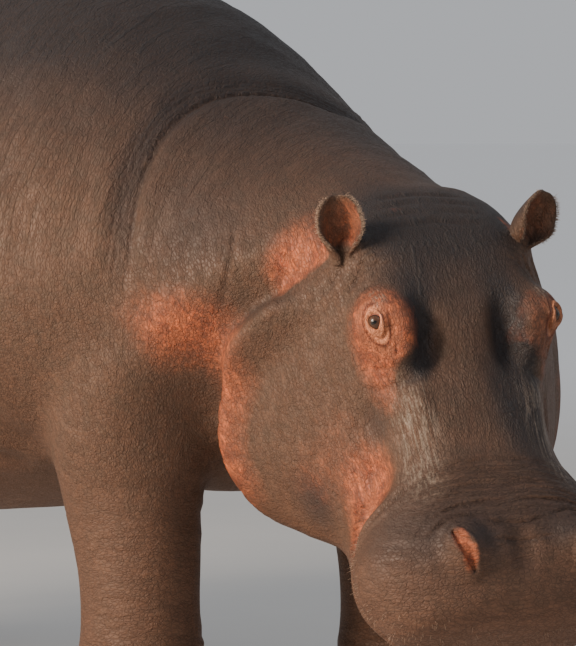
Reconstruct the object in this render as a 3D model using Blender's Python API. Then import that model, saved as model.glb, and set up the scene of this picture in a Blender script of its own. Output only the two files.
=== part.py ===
"""A common hippopotamus, life size: four feet level, head lowered and turned to its right.

World frame: +X is the way the trunk faces, +Y is the animal's left, +Z is up, metres.
The whole animal is lofted, joined into one skin, sculpted, and then parted with thin cuts.
"""

import math

import bmesh
import bpy
import numpy as np
from mathutils import Matrix, Vector

# ---------------------------------------------------------------- driving sizes
GAP = 0.0004  # clearance between neighbouring solids
SKIN_VOXEL = 0.013
BODY_TRIANGLES = 1850  # kept in the skin before it is parted
HEAD_TRIANGLES = 1650
HEAD_LOW = 0.250  # the head's own triangles are all above it
SMOOTHING = 0.6
SMOOTHING_ROUNDS = 40
FOOT_SPARED = 0.100  # height below which a foot is hardly smoothed
HEAD_SPARED = 0.020  # the same for the head, ahead of its poll, and for the tail, behind its root
HEAD_BLEND = 0.120
TAIL_SPARED = -1.380
TAIL_BLEND = 0.050
SHARP_ANGLE = math.radians(50.0)

POLL = Vector((1.225, -0.115, 0.905))  # top of the skull, midway between the ears
HEAD_PITCH = math.radians(57.8)
HEAD_YAW = math.radians(-23.3)
HEAD_ROLL = math.radians(2.6)

EYE_RADIUS = 0.024
EYE_PLACE = (0.164, 0.160, -0.008)  # head frame, left eye
EAR_LENGTH = 0.104
EAR_HALF_WIDTH = 0.037
EAR_THICKNESS = 0.009
EAR_ROOT_WIDTH = 0.55  # of the full half width
EAR_WRAP = math.radians(125.0)  # half the turn of the cup's wall at the root, and at the tip
EAR_TIP_WRAP = math.radians(65.0)
EAR_BACK = 0.020  # the wall's middle behind the ear's axis
EAR_LEAN = 0.020  # how far the tip comes forward
EAR_SEAT_RADIUS = 0.047  # of the flat that the ear stands on
EAR_SEAT_DEPTH = 0.0025
# Root of each ear in the head frame, the way it points, and the way its cup opens.
EARS = {
    "ear_right": ((0.010, -0.176, -0.040), (-0.80, -0.14, 0.58), (0.62, -0.31, 0.72)),
    "ear_left": ((0.010, 0.154, -0.030), (-0.66, 0.44, 0.61), (0.62, 0.31, 0.72)),
}
TOE_BEARINGS = (-57.0, -19.0, 19.0, 57.0)  # of each toe from straight ahead, degrees
NAIL_RADII = (0.012, 0.025, 0.027)  # outward, across, up
NAIL_HEIGHT = 0.031
NAIL_STAND = 0.006  # beyond the foot's rim
NAIL_SEGMENTS = 8
NAIL_RINGS = 4

# colour and roughness of each material
FINISHES = {
    "hide": ((0.105, 0.078, 0.068, 1.0), 0.55),
    "ear_skin": ((0.160, 0.075, 0.050, 1.0), 0.55),
    "eye": ((0.030, 0.016, 0.010, 1.0), 0.10),
    "nail": ((0.120, 0.092, 0.075, 1.0), 0.45),
}

Y = np.array([0.0, 1.0, 0.0])
Z = np.array([0.0, 0.0, 1.0])


# ---------------------------------------------------------------- small tools
def clear_scene():
    for old in list(bpy.data.objects):
        bpy.data.objects.remove(old, do_unlink=True)


def finish_material(name, colour, roughness):
    made = bpy.data.materials.new(name)
    made.use_nodes = True
    shader = made.node_tree.nodes["Principled BSDF"]
    shader.inputs["Base Color"].default_value = colour
    shader.inputs["Roughness"].default_value = roughness
    shader.inputs["Metallic"].default_value = 0.0
    return made


def add_object(name, mesh):
    made = bpy.data.objects.new(name, mesh)
    bpy.context.scene.collection.objects.link(made)
    return made


def through(keys, rows, at):
    """Values of a smooth curve through the rows, which stand at the keys, read at each place in at."""
    keys = np.asarray(keys, float)
    rows = np.asarray(rows, float)
    slopes = np.gradient(rows, keys, axis=0)
    at = np.clip(np.asarray(at, float), keys[0], keys[-1])
    i = np.clip(np.searchsorted(keys, at, side="right") - 1, 0, len(keys) - 2)
    step = keys[i + 1] - keys[i]
    t = ((at - keys[i]) / step)[:, None]
    step = step[:, None]
    return (
        (1 + 2 * t) * (1 - t) ** 2 * rows[i]
        + t * (1 - t) ** 2 * step * slopes[i]
        + t * t * (3 - 2 * t) * rows[i + 1]
        + t * t * (t - 1) * step * slopes[i + 1]
    )


def section_axes(pitch, yaw):
    """Forward, left and up of a cross-section that noses down by pitch and turns left by yaw."""
    forward = np.array([math.cos(pitch) * math.cos(yaw), math.cos(pitch) * math.sin(yaw), -math.sin(pitch)])
    left = np.array([-math.sin(yaw), math.cos(yaw), 0.0])
    return forward, left, np.cross(forward, left)


def loft_mesh(name, rings):
    """A closed mesh over rings of equally many points, its two ends closed by fans."""
    rings = np.asarray(rings, float)
    count, around = rings.shape[:2]
    bm = bmesh.new()
    rows = [[bm.verts.new(p) for p in ring] for ring in rings]
    for i in range(count - 1):
        for k in range(around):
            n = (k + 1) % around
            bm.faces.new((rows[i][k], rows[i][n], rows[i + 1][n], rows[i + 1][k]))
    for row in (rows[0], rows[-1]):
        hub = bm.verts.new(sum((v.co for v in row), Vector()) / around)
        for k in range(around):
            bm.faces.new((row[k], row[(k + 1) % around], hub))
    bmesh.ops.recalc_face_normals(bm, faces=bm.faces)
    mesh = bpy.data.meshes.new(name)
    bm.to_mesh(mesh)
    bm.free()
    return mesh


def head_frame():
    """Matrix from the head's own frame: +X from poll to nostrils, +Y its left, +Z out of the forehead."""
    forward, left, up = (Vector(a) for a in section_axes(HEAD_PITCH, HEAD_YAW))
    turn = Matrix((forward, left, up)).transposed()
    return Matrix.Translation(POLL) @ turn.to_4x4() @ Matrix.Rotation(HEAD_ROLL, 4, "X")


# ---------------------------------------------------------------- the lofted masses
# Trunk and neck, tail end to head: middle x, y, z, nose-down pitch and left yaw in degrees,
# half width, rise above and drop below the middle.
TRUNK_STATIONS = [
    (-1.350, 0.000, 0.880, -20, 0, 0.120, 0.170, 0.180),
    (-1.310, 0.000, 0.870, -16, 0, 0.250, 0.330, 0.290),
    (-1.190, 0.000, 0.860, -10, 0, 0.375, 0.470, 0.360),
    (-0.950, 0.000, 0.845, -4, 0, 0.470, 0.580, 0.410),
    (-0.600, 0.000, 0.830, 0, 0, 0.535, 0.610, 0.450),
    (-0.200, 0.000, 0.820, 0, 0, 0.570, 0.610, 0.460),
    (0.180, 0.000, 0.820, 2, 0, 0.560, 0.580, 0.450),
    (0.440, 0.000, 0.820, 6, 0, 0.515, 0.515, 0.420),
    (0.620, 0.000, 0.795, 12, -2, 0.455, 0.400, 0.380),
    (0.760, -0.005, 0.755, 18, -6, 0.395, 0.345, 0.350),
    (0.890, -0.025, 0.730, 28, -12, 0.345, 0.315, 0.330),
    (1.000, -0.055, 0.700, 38, -17, 0.275, 0.290, 0.300),
    (1.080, -0.080, 0.660, 46, -20, 0.210, 0.220, 0.240),
    (1.130, -0.095, 0.620, 50, -20, 0.130, 0.130, 0.120),
]
BACK_SQUARE = 1.9  # exponent of the superellipse over the back
BELLY_SQUARE = 2.25
BODY_AROUND = 64
BODY_RINGS = 110

# Head, nape to lip, in its own frame: x, then half of the outline from crown to keel as
# crown height, brow edge (y, z), cheek (y, z), jowl (y, z), jaw edge (y, z) and keel height.
HEAD_STATIONS = [
    (-0.160, -0.085, 0.130, -0.105, 0.190, -0.190, 0.180, -0.300, 0.110, -0.380, -0.400),
    (-0.080, -0.030, 0.145, -0.048, 0.212, -0.165, 0.235, -0.315, 0.150, -0.420, -0.445),
    (0.000, 0.004, 0.146, -0.012, 0.222, -0.140, 0.285, -0.345, 0.205, -0.470, -0.475),
    (0.090, 0.006, 0.146, -0.010, 0.224, -0.130, 0.308, -0.370, 0.240, -0.495, -0.475),
    (0.180, -0.002, 0.138, -0.018, 0.205, -0.125, 0.300, -0.370, 0.262, -0.495, -0.465),
    (0.270, -0.018, 0.122, -0.032, 0.175, -0.125, 0.272, -0.358, 0.260, -0.486, -0.445),
    (0.350, -0.028, 0.108, -0.042, 0.158, -0.120, 0.220, -0.318, 0.215, -0.432, -0.405),
    (0.430, -0.028, 0.108, -0.040, 0.168, -0.110, 0.190, -0.240, 0.170, -0.360, -0.372),
    (0.500, -0.016, 0.130, -0.030, 0.210, -0.100, 0.220, -0.195, 0.175, -0.325, -0.350),
    (0.570, -0.004, 0.150, -0.018, 0.240, -0.092, 0.248, -0.180, 0.185, -0.300, -0.335),
    (0.630, -0.004, 0.150, -0.020, 0.238, -0.092, 0.244, -0.178, 0.180, -0.280, -0.315),
    (0.680, -0.030, 0.135, -0.045, 0.208, -0.100, 0.214, -0.180, 0.155, -0.255, -0.285),
]
MUZZLE_DEPTH = 0.050  # how far the rounded front stands beyond the last station
MUZZLE_MIDDLE = -0.150
MUZZLE_BLUNT = 0.62  # below one, the front is blunter than an ellipse
HEAD_AROUND = 72
HEAD_RINGS = 90
CAP_RINGS = 12

# Legs, top to sole: x, y and z of the middle, half length, half width. They run on below the
# floor, where the soles are cut flat.
FORELEG = [
    (-0.050, -0.100, 1.000, 0.150, 0.090),
    (-0.030, -0.045, 0.860, 0.190, 0.140),
    (0.000, -0.012, 0.700, 0.185, 0.160),
    (0.000, 0.000, 0.560, 0.155, 0.150),
    (-0.015, 0.000, 0.430, 0.128, 0.128),
    (0.000, 0.000, 0.310, 0.112, 0.114),
    (0.005, 0.000, 0.200, 0.106, 0.112),
    (0.010, 0.000, 0.110, 0.118, 0.128),
    (0.030, 0.000, 0.055, 0.140, 0.142),
    (0.035, 0.000, 0.018, 0.146, 0.148),
    (0.035, 0.000, -0.030, 0.146, 0.148),
]
HINDLEG = [
    (0.100, -0.120, 1.120, 0.240, 0.110),
    (0.080, -0.070, 0.960, 0.300, 0.165),
    (0.070, -0.025, 0.780, 0.300, 0.185),
    (0.050, -0.005, 0.620, 0.245, 0.180),
    (0.000, 0.000, 0.480, 0.175, 0.152),
    (-0.040, 0.000, 0.360, 0.132, 0.125),
    (-0.035, 0.000, 0.250, 0.110, 0.110),
    (-0.015, 0.000, 0.140, 0.110, 0.112),
    (0.015, 0.000, 0.060, 0.130, 0.128),
    (0.022, 0.000, 0.018, 0.138, 0.136),
    (0.022, 0.000, -0.030, 0.138, 0.136),
]
LEG_AROUND = 40
LEG_RINGS = 44
ANKLE_HEIGHT = 0.160  # the foot turns out below it
# name: stations, x and y of the leg's middle, turn of the foot in degrees
LEGS = {
    "foreleg_right": (FORELEG, 0.640, -0.270, -8),
    "foreleg_left": (FORELEG, 0.790, 0.265, 6),
    "hindleg_right": (HINDLEG, -0.830, -0.275, -7),
    "hindleg_left": (HINDLEG, -0.960, 0.275, 7),
}

# Where the skin is parted: boxes (low corner, high corner) in a frame of their own, and an ellipsoid
# round each leg. The head's plane leans by HEAD_CUT_LEAN from the head's own cross-section.
HEAD_CUT = -0.100
HEAD_CUT_LEAN = math.radians(-20.0)
HEAD_REGION = ((0.0, -0.5, -0.60), (0.9, 0.5, 0.4))
NECK_REGION = ((0.0, -1.0, -1.0), (1.0, 1.0, 1.0))
TAIL_REGION = ((-1.7, -0.12, 0.5), (-1.395, 0.12, 1.2))
UNDER_FLOOR = ((-3.0, -2.0, -1.0), (3.0, 2.0, 0.0))
LEG_REGION_RADII = (0.250, 0.205)
LEG_REGION_HEIGHT = 0.100
FORELEG_TOP = 0.620
HINDLEG_TOP = 0.660
EAR_ROWS = 9
EAR_COLUMNS = 9

# Strokes on the head, in its own frame and mirrored: centre, radii of reach, push.
HEAD_STROKES = [
    ((0.165, 0.140, -0.010), (0.110, 0.100, 0.100), (0.000, 0.028, 0.018)),  # orbit
    ((0.162, 0.165, -0.005), (0.065, 0.065, 0.065), (0.000, 0.016, 0.004)),  # eyelids
    ((0.240, 0.065, -0.010), (0.120, 0.065, 0.070), (0.000, 0.000, -0.009)),  # hollow before the brow
    ((0.060, 0.165, -0.040), (0.055, 0.060, 0.060), (0.000, -0.012, -0.008)),  # between ear and eye
    ((0.400, 0.185, -0.150), (0.090, 0.060, 0.070), (0.000, -0.022, 0.000)),  # mouth corner
    ((0.610, 0.108, 0.000), (0.075, 0.060, 0.060), (0.000, 0.004, 0.024)),  # nostril mound
    ((0.620, 0.000, 0.000), (0.070, 0.040, 0.050), (0.000, 0.000, -0.012)),  # between the nostrils
    ((0.010, 0.165, -0.040), (0.055, 0.055, 0.055), (-0.012, 0.008, 0.012)),  # ear root
    ((0.150, 0.270, -0.400), (0.150, 0.110, 0.110), (0.000, 0.014, -0.008)),  # jowl
]
MOUTH_LINE = [
    (0.425, 0.185, -0.150),
    (0.450, 0.200, -0.185),
    (0.520, 0.230, -0.212),
    (0.600, 0.245, -0.216),
    (0.665, 0.215, -0.212),
    (0.712, 0.130, -0.205),
    (0.722, 0.000, -0.203),
]
JOWL_LINE = [
    (0.045, 0.205, -0.090),
    (0.000, 0.235, -0.190),
    (-0.012, 0.285, -0.310),
    (0.020, 0.305, -0.410),
    (0.090, 0.270, -0.500),
]
# Grooves: line, half width, depth.
HEAD_GROOVES = [(MOUTH_LINE, 0.020, 0.014), (JOWL_LINE, 0.038, 0.016)]

# Strokes on the trunk and legs, mirrored: centre, radii of reach, push.
BODY_STROKES = [
    ((0.500, 0.460, 0.780), (0.260, 0.300, 0.420), (0.000, 0.036, 0.000)),  # shoulder
    ((0.190, 0.520, 0.840), (0.260, 0.300, 0.440), (0.000, -0.014, 0.000)),  # behind the shoulder
    ((-0.150, 0.350, 0.420), (0.600, 0.400, 0.280), (0.000, 0.018, -0.022)),  # belly
    ((-0.560, 0.500, 0.740), (0.260, 0.300, 0.440), (0.000, -0.020, 0.000)),  # flank hollow
    ((-0.930, 0.420, 0.820), (0.330, 0.300, 0.460), (0.000, 0.045, 0.000)),  # haunch
    ((-1.250, 0.200, 0.900), (0.200, 0.220, 0.360), (-0.030, 0.000, 0.000)),  # buttock
    ((0.620, 0.380, 0.500), (0.100, 0.200, 0.140), (-0.012, 0.012, 0.000)),  # elbow
]

# The roll of hide round the neck, with a groove before it: a point on the groove's plane, the plane's
# pitch and yaw, and how far below the point the fold has faded out.
FOLD_PLACE = (0.735, 0.000, 0.850)
FOLD_PITCH = math.radians(5.0)
FOLD_YAW = math.radians(-3.0)
FOLD_DEPTH = 0.020
FOLD_WIDTH = 0.028
FOLD_SWELL = 0.016
FOLD_LOW = -0.200
FOLD_FADE = 0.250

# Toes, and the clefts between them: height, radii of reach and outward push.
TOE_STROKE = (0.040, (0.055, 0.055, 0.060), 0.012)
CLEFT_STROKE = (0.030, (0.028, 0.028, 0.060), -0.010)

# Tail, root to tip: x, z, half width across, half depth.
TAIL_STATIONS = [
    (-1.230, 1.160, 0.075, 0.080),
    (-1.345, 1.100, 0.064, 0.060),
    (-1.425, 1.010, 0.050, 0.046),
    (-1.462, 0.910, 0.040, 0.036),
    (-1.476, 0.810, 0.031, 0.032),
    (-1.478, 0.710, 0.020, 0.032),
    (-1.474, 0.660, 0.012, 0.022),
]
TAIL_AROUND = 20
TAIL_RINGS = 40


def body_mass():
    keys = np.arange(len(TRUNK_STATIONS))
    at = np.linspace(0, len(keys) - 1, BODY_RINGS)
    angles = np.linspace(0, 2 * math.pi, BODY_AROUND, endpoint=False)
    power = 2 / np.where(np.sin(angles) > 0, BACK_SQUARE, BELLY_SQUARE)
    across = np.sign(np.cos(angles)) * np.abs(np.cos(angles)) ** power
    upward = np.sign(np.sin(angles)) * np.abs(np.sin(angles)) ** power
    rings = []
    for x, y, z, pitch, yaw, width, rise, drop in through(keys, TRUNK_STATIONS, at):
        _, left, up = section_axes(math.radians(pitch), math.radians(yaw))
        height = np.where(upward > 0, rise, drop) * upward
        rings.append(np.array([x, y, z]) + np.outer(width * across, left) + np.outer(height, up))
    return loft_mesh("body_mass", rings)


def head_outline(row):
    """One closed cross-section of the head from a station's row, as (y, z) points."""
    _, crown, y1, z1, y2, z2, y3, z3, y4, z4, keel = row
    half = [(0, crown), (y1, z1), (y2, z2), (y3, z3), (y4, z4), (0, keel)]
    other = [(-y, z) for y, z in half[-2:0:-1]]
    ring = np.array(half + other, float)
    ring = np.concatenate([ring[-3:], ring, ring[:4]])
    spans = np.sqrt(np.linalg.norm(np.diff(ring, axis=0), axis=1))
    keys = np.concatenate([[0], np.cumsum(spans)])
    at = np.linspace(keys[3], keys[-4], HEAD_AROUND, endpoint=False)
    return through(keys, ring, at)


def head_mass(frame):
    table = np.array(HEAD_STATIONS)
    xs = np.linspace(table[0, 0], table[-1, 0], HEAD_RINGS)
    rows = through(table[:, 0], table, xs)
    rings = [np.insert(head_outline(row), 0, row[0], axis=1) for row in rows]
    last = rings[-1].copy()
    middle = np.array([last[0, 0], 0, MUZZLE_MIDDLE])
    for turn in np.linspace(0, math.pi / 2, CAP_RINGS + 1)[1:]:
        ring = middle + (last - middle) * max(math.cos(turn) ** MUZZLE_BLUNT, 0.02)
        ring[:, 0] = last[0, 0] + MUZZLE_DEPTH * math.sin(turn)
        rings.append(ring)
    mesh = loft_mesh("head_mass", rings)
    mesh.transform(frame)
    return mesh


def leg_mass(name):
    stations, x0, y0, turn = LEGS[name]
    side = 1 if y0 > 0 else -1
    keys = np.arange(len(stations))
    at = np.linspace(0, len(keys) - 1, LEG_RINGS)
    angles = np.linspace(0, 2 * math.pi, LEG_AROUND, endpoint=False)
    rings = []
    for x, y, z, length, width in through(keys, stations, at):
        flare = np.clip(1 - z / ANKLE_HEIGHT, 0, 1) * math.radians(turn)
        along = length * np.cos(angles)
        across = width * np.sin(angles)
        px = x + along * np.cos(flare) - across * np.sin(flare)
        py = along * np.sin(flare) + across * np.cos(flare)
        rings.append(np.stack([x0 + px, y0 + side * y + py, np.full_like(px, z)], axis=1))
    return loft_mesh(name + "_mass", rings)


def tail_mass():
    keys = np.arange(len(TAIL_STATIONS))
    at = np.linspace(0, len(keys) - 1, TAIL_RINGS)
    rows = through(keys, TAIL_STATIONS, at)
    run = np.gradient(rows[:, :2], axis=0)
    angles = np.linspace(0, 2 * math.pi, TAIL_AROUND, endpoint=False)
    rings = []
    for (x, z, half_width, half_depth), (dx, dz) in zip(rows, run):
        out = np.array([-dz, 0, dx]) / math.hypot(dx, dz)
        across = np.outer(half_width * np.cos(angles), Y)
        deep = np.outer(half_depth * np.sin(angles), out)
        rings.append(np.array([x, 0, z]) + across + deep)
    return loft_mesh("tail_mass", rings)


def apply_modifiers(obj):
    graph = bpy.context.evaluated_depsgraph_get()
    mesh = bpy.data.meshes.new_from_object(obj.evaluated_get(graph), depsgraph=graph)
    obj.modifiers.clear()
    obj.data = mesh


def read_points(mesh):
    points = np.empty(len(mesh.vertices) * 3)
    mesh.vertices.foreach_get("co", points)
    return points.reshape(-1, 3)


def write_points(mesh, points):
    mesh.vertices.foreach_set("co", points.ravel())
    mesh.update()


def read_normals(mesh):
    normals = np.empty(len(mesh.vertices) * 3)
    mesh.vertices.foreach_get("normal", normals)
    return normals.reshape(-1, 3)


def relax(mesh, rounds, weight):
    """Draw each point toward the mean of its neighbours, by its weight."""
    edges = np.empty(len(mesh.edges) * 2, int)
    mesh.edges.foreach_get("vertices", edges)
    a, b = edges.reshape(-1, 2).T
    points = read_points(mesh)
    count = np.bincount(a, minlength=len(points)) + np.bincount(b, minlength=len(points))
    for _ in range(rounds):
        total = np.empty_like(points)
        for axis in range(3):
            column = points[:, axis]
            total[:, axis] = np.bincount(a, column[b], len(points)) + np.bincount(b, column[a], len(points))
        points += weight[:, None] * (total / count[:, None] - points)
    write_points(mesh, points)


def bump(distance):
    """One at distance 0, falling smoothly to nothing at 1."""
    return np.clip(1 - distance**2, 0, None) ** 2


def push(points, centre, radii, vector):
    """Push the points near a centre by a vector."""
    near = bump(np.linalg.norm((points - centre) / radii, axis=1))
    points += near[:, None] * np.asarray(vector)


def fold_over(points):
    """The points with their right half mirrored onto the left, and the signs that undo it."""
    signs = np.ones_like(points)
    signs[points[:, 1] < 0, 1] = -1.0
    return points * signs, signs


def path_distance(place, path):
    """Distance of each point from a polyline."""
    best = np.full(len(place), np.inf)
    for start, end in zip(path[:-1], path[1:]):
        start, span = np.array(start), np.subtract(end, start)
        along = np.clip((place - start) @ span / (span @ span), 0, 1)
        best = np.minimum(best, np.linalg.norm(place - start - along[:, None] * span, axis=1))
    return best


def joined_skin(frame):
    """All the flesh as one voxel-remeshed, smoothed skin."""
    meshes = [body_mass(), head_mass(frame), tail_mass()] + [leg_mass(name) for name in LEGS]
    bm = bmesh.new()
    for mesh in meshes:
        bm.from_mesh(mesh)
    whole = bpy.data.meshes.new("skin")
    bm.to_mesh(whole)
    bm.free()
    skin = add_object("skin", whole)
    remesh = skin.modifiers.new("union", "REMESH")
    remesh.mode = "VOXEL"
    remesh.voxel_size = SKIN_VOXEL
    apply_modifiers(skin)
    return skin


def in_head_frame(points, frame):
    inverse = np.array(frame.inverted())
    return points @ inverse[:3, :3].T + inverse[:3, 3]


def sculpt_head(mesh, frame):
    """Raise and sink the features of the head, the same on both sides."""
    half, signs = fold_over(in_head_frame(read_points(mesh), frame))
    for stroke in HEAD_STROKES:
        push(half, *stroke)
    depth = sum(deep * bump(path_distance(half, line) / wide) for line, wide, deep in HEAD_GROOVES)
    turn = np.array(frame)
    points = (half * signs) @ turn[:3, :3].T + turn[:3, 3]
    write_points(mesh, points)
    write_points(mesh, points - depth[:, None] * read_normals(mesh))


def sculpt_body(mesh):
    """Swell the shoulders, haunches and belly and hollow the flanks, the same on both sides."""
    half, signs = fold_over(read_points(mesh))
    for stroke in BODY_STROKES:
        push(half, *stroke)
    write_points(mesh, half * signs)


def sculpt_fold(mesh):
    """The roll of hide that stands over the neck, and the groove before it."""
    forward, _, up = section_axes(FOLD_PITCH, FOLD_YAW)
    points = read_points(mesh)
    ahead = (points - FOLD_PLACE) @ forward
    fade = np.clip(((points - FOLD_PLACE) @ up - FOLD_LOW) / FOLD_FADE, 0, 1)
    groove = FOLD_DEPTH * bump(ahead / FOLD_WIDTH)
    roll = FOLD_SWELL * bump((ahead / FOLD_WIDTH + 1.6) / 2.6)
    write_points(mesh, points + (fade * (roll - groove))[:, None] * read_normals(mesh))


def sculpt_toes(mesh):
    """Four rounded toes along the front of each foot, with a cleft between neighbours."""
    points = read_points(mesh)
    clefts = [(one + two) / 2 for one, two in zip(TOE_BEARINGS[:-1], TOE_BEARINGS[1:])]
    for name in LEGS:
        for bearings, (height, radii, reach) in ((TOE_BEARINGS, TOE_STROKE), (clefts, CLEFT_STROKE)):
            for bearing in bearings:
                rim, out = toe_rim(name, bearing)
                push(points, rim + height * Z, radii, reach * out)
    write_points(mesh, points)


def toe_rim(name, bearing):
    """The foot's rim at a bearing, on the floor, and the outward direction there."""
    stations, x0, y0, turn = LEGS[name]
    x, _, _, length, width = stations[-1]
    angle = math.radians(bearing)
    along, across = length * math.cos(angle), width * math.sin(angle)
    swing = math.radians(turn)
    out = np.array([math.cos(angle + swing), math.sin(angle + swing), 0.0])
    rim = np.array([
        x0 + x + along * math.cos(swing) - across * math.sin(swing),
        y0 + along * math.sin(swing) + across * math.cos(swing),
        0.0,
    ])
    return rim, out


def triangle_count(mesh):
    return sum(len(face.vertices) - 2 for face in mesh.polygons)


def thin_out(skin, frame):
    """Collapse the body, then the head, each to its own budget of triangles."""
    points = read_points(skin.data)
    fine = (in_head_frame(points, frame)[:, 0] > HEAD_CUT) & (points[:, 2] > HEAD_LOW)
    group = skin.vertex_groups.new(name="head")
    group.add([int(i) for i in np.nonzero(fine)[0]], 1.0, "REPLACE")
    head_now = triangle_count(skin.data) * fine.mean()
    for spare_head, target in ((True, head_now + BODY_TRIANGLES), (False, HEAD_TRIANGLES + BODY_TRIANGLES)):
        collapse = skin.modifiers.new("thin out", "DECIMATE")
        collapse.vertex_group = group.name
        collapse.invert_vertex_group = spare_head
        collapse.ratio = target / triangle_count(skin.data)
        apply_modifiers(skin)


# ---------------------------------------------------------------- cutting the skin into parts
def box_mesh(corners, matrix=None, grow=0.0):
    low, high = np.array(corners)
    bm = bmesh.new()
    bmesh.ops.create_cube(bm, size=1.0)
    bmesh.ops.scale(bm, vec=high - low + 2 * grow, verts=bm.verts)
    bmesh.ops.translate(bm, vec=(low + high) / 2, verts=bm.verts)
    return to_mesh(bm, matrix)


def ball_mesh(radii, matrix=None, grow=0.0, segments=16, rings=10):
    bm = bmesh.new()
    bmesh.ops.create_uvsphere(bm, u_segments=segments, v_segments=rings, radius=1.0)
    bmesh.ops.scale(bm, vec=[r + grow for r in radii], verts=bm.verts)
    return to_mesh(bm, matrix)


def to_mesh(bm, matrix=None):
    mesh = bpy.data.meshes.new("shape")
    if matrix is not None:
        bm.transform(matrix)
    bm.to_mesh(mesh)
    bm.free()
    return mesh


def carve(target, cutter_mesh, operation):
    """Apply one exact Boolean to an object in place."""
    cutter = add_object("cutter", cutter_mesh)
    cut = target.modifiers.new("cut", "BOOLEAN")
    cut.operation = operation
    cut.solver = "EXACT"
    cut.object = cutter
    apply_modifiers(target)
    bpy.data.objects.remove(cutter, do_unlink=True)


def part_off(rest, name, shape, size, matrix=None):
    """Take what lies inside a shape off the rest as a new object, leaving a thin gap."""
    piece = add_object(name, rest.data.copy())
    carve(piece, shape(size, matrix), "INTERSECT")
    carve(rest, shape(size, matrix, GAP), "DIFFERENCE")
    return piece


def part_off_leg(rest, name):
    stations, x0, y0, _ = LEGS[name]
    top = FORELEG_TOP if stations is FORELEG else HINDLEG_TOP
    radii = (*LEG_REGION_RADII, top - LEG_REGION_HEIGHT)
    return part_off(rest, name, ball_mesh, radii, Matrix.Translation((x0, y0, LEG_REGION_HEIGHT)))


def aim(place, along, facing):
    """Matrix whose X runs along the first direction and Z as near the second as it can."""
    x = Vector(along).normalized()
    y = Vector(facing).cross(x).normalized()
    return Matrix.Translation(place) @ Matrix((x, y, x.cross(y))).transposed().to_4x4()


# ---------------------------------------------------------------- separate pieces
def ear_half_width(t):
    """Half the width of the ear's outline, t from 0 at the root to 1 at the tip."""
    if t < 0.5:
        widening = 4 * t * t * (3 - 4 * t)
        return EAR_HALF_WIDTH * (EAR_ROOT_WIDTH + (1 - EAR_ROOT_WIDTH) * widening)
    return EAR_HALF_WIDTH * math.sqrt(1 - (2 * t - 1) ** 2.3)


def ear_mesh():
    """A cupped ear in its own frame: X from root to tip, Z the way the cup opens."""
    bm = bmesh.new()
    rows = []
    for t in np.linspace(0, 0.985, EAR_ROWS):
        wrap = EAR_WRAP + (EAR_TIP_WRAP - EAR_WRAP) * t
        radius = ear_half_width(t) / math.sin(min(wrap, math.pi / 2))
        back = EAR_LEAN * t * t - EAR_BACK
        turns = np.linspace(-wrap, wrap, EAR_COLUMNS)
        points = [(t * EAR_LENGTH, radius * math.sin(a), radius * (1 - math.cos(a)) + back) for a in turns]
        rows.append([bm.verts.new(point) for point in points])
    for low, high in zip(rows[:-1], rows[1:]):
        for k in range(EAR_COLUMNS - 1):
            bm.faces.new((low[k], high[k], high[k + 1], low[k + 1]))
    return to_mesh(bm)


def make_ear(name, frame, head):
    place, along, facing = EARS[name]
    matrix = frame @ aim(place, along, facing)
    clearing = bmesh.new()
    sizes = {"radius1": EAR_SEAT_RADIUS, "radius2": EAR_SEAT_RADIUS, "depth": EAR_LENGTH}
    bmesh.ops.create_cone(clearing, cap_ends=True, segments=20, **sizes)
    lie_along = Matrix.Rotation(math.pi / 2, 4, "Y")
    stand_clear = Matrix.Translation((EAR_LENGTH / 2 - EAR_SEAT_DEPTH, 0, 0))
    carve(head, to_mesh(clearing, matrix @ stand_clear @ lie_along), "DIFFERENCE")
    ear = add_object(name, ear_mesh())
    wall = ear.modifiers.new("wall", "SOLIDIFY")
    wall.thickness = EAR_THICKNESS
    wall.offset = 0.0
    apply_modifiers(ear)
    ear.data.transform(matrix)
    return ear


def make_eye(name, side, frame, head):
    x, y, z = EYE_PLACE
    matrix = frame @ Matrix.Translation((x, side * y, z)) @ Matrix.Rotation(-side * math.pi / 2, 4, "X")
    radii = (EYE_RADIUS,) * 3
    carve(head, ball_mesh(radii, matrix, GAP), "DIFFERENCE")
    return add_object(name, ball_mesh(radii, matrix))


def make_nails(leg):
    made = []
    for number, bearing in enumerate(TOE_BEARINGS, start=1):
        rim, out = toe_rim(leg.name, bearing)
        matrix = aim(rim + NAIL_STAND * out + NAIL_HEIGHT * Z, out, Z)
        socket, nail = (ball_mesh(NAIL_RADII, matrix, grow, NAIL_SEGMENTS, NAIL_RINGS) for grow in (GAP, 0.0))
        carve(leg, socket, "DIFFERENCE")
        made.append(add_object(f"nail_{leg.name}_{number}", nail))
    return made


def smoothing_weight(points, frame):
    """How much each point of the skin is relaxed: little at the soles, on the head and on the tail."""
    foot = np.clip(points[:, 2] / FOOT_SPARED - 1, 0.1, 1)
    head = np.clip((HEAD_SPARED - in_head_frame(points, frame)[:, 0]) / HEAD_BLEND, 0.12, 1)
    tail = np.clip((points[:, 0] - TAIL_SPARED) / TAIL_BLEND, 0.08, 1)
    return SMOOTHING * foot * head * tail


def sculpted_skin(frame):
    skin = joined_skin(frame)
    relax(skin.data, SMOOTHING_ROUNDS, smoothing_weight(read_points(skin.data), frame))
    sculpt_head(skin.data, frame)
    sculpt_body(skin.data)
    sculpt_fold(skin.data)
    sculpt_toes(skin.data)
    thin_out(skin, frame)
    return skin


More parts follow.
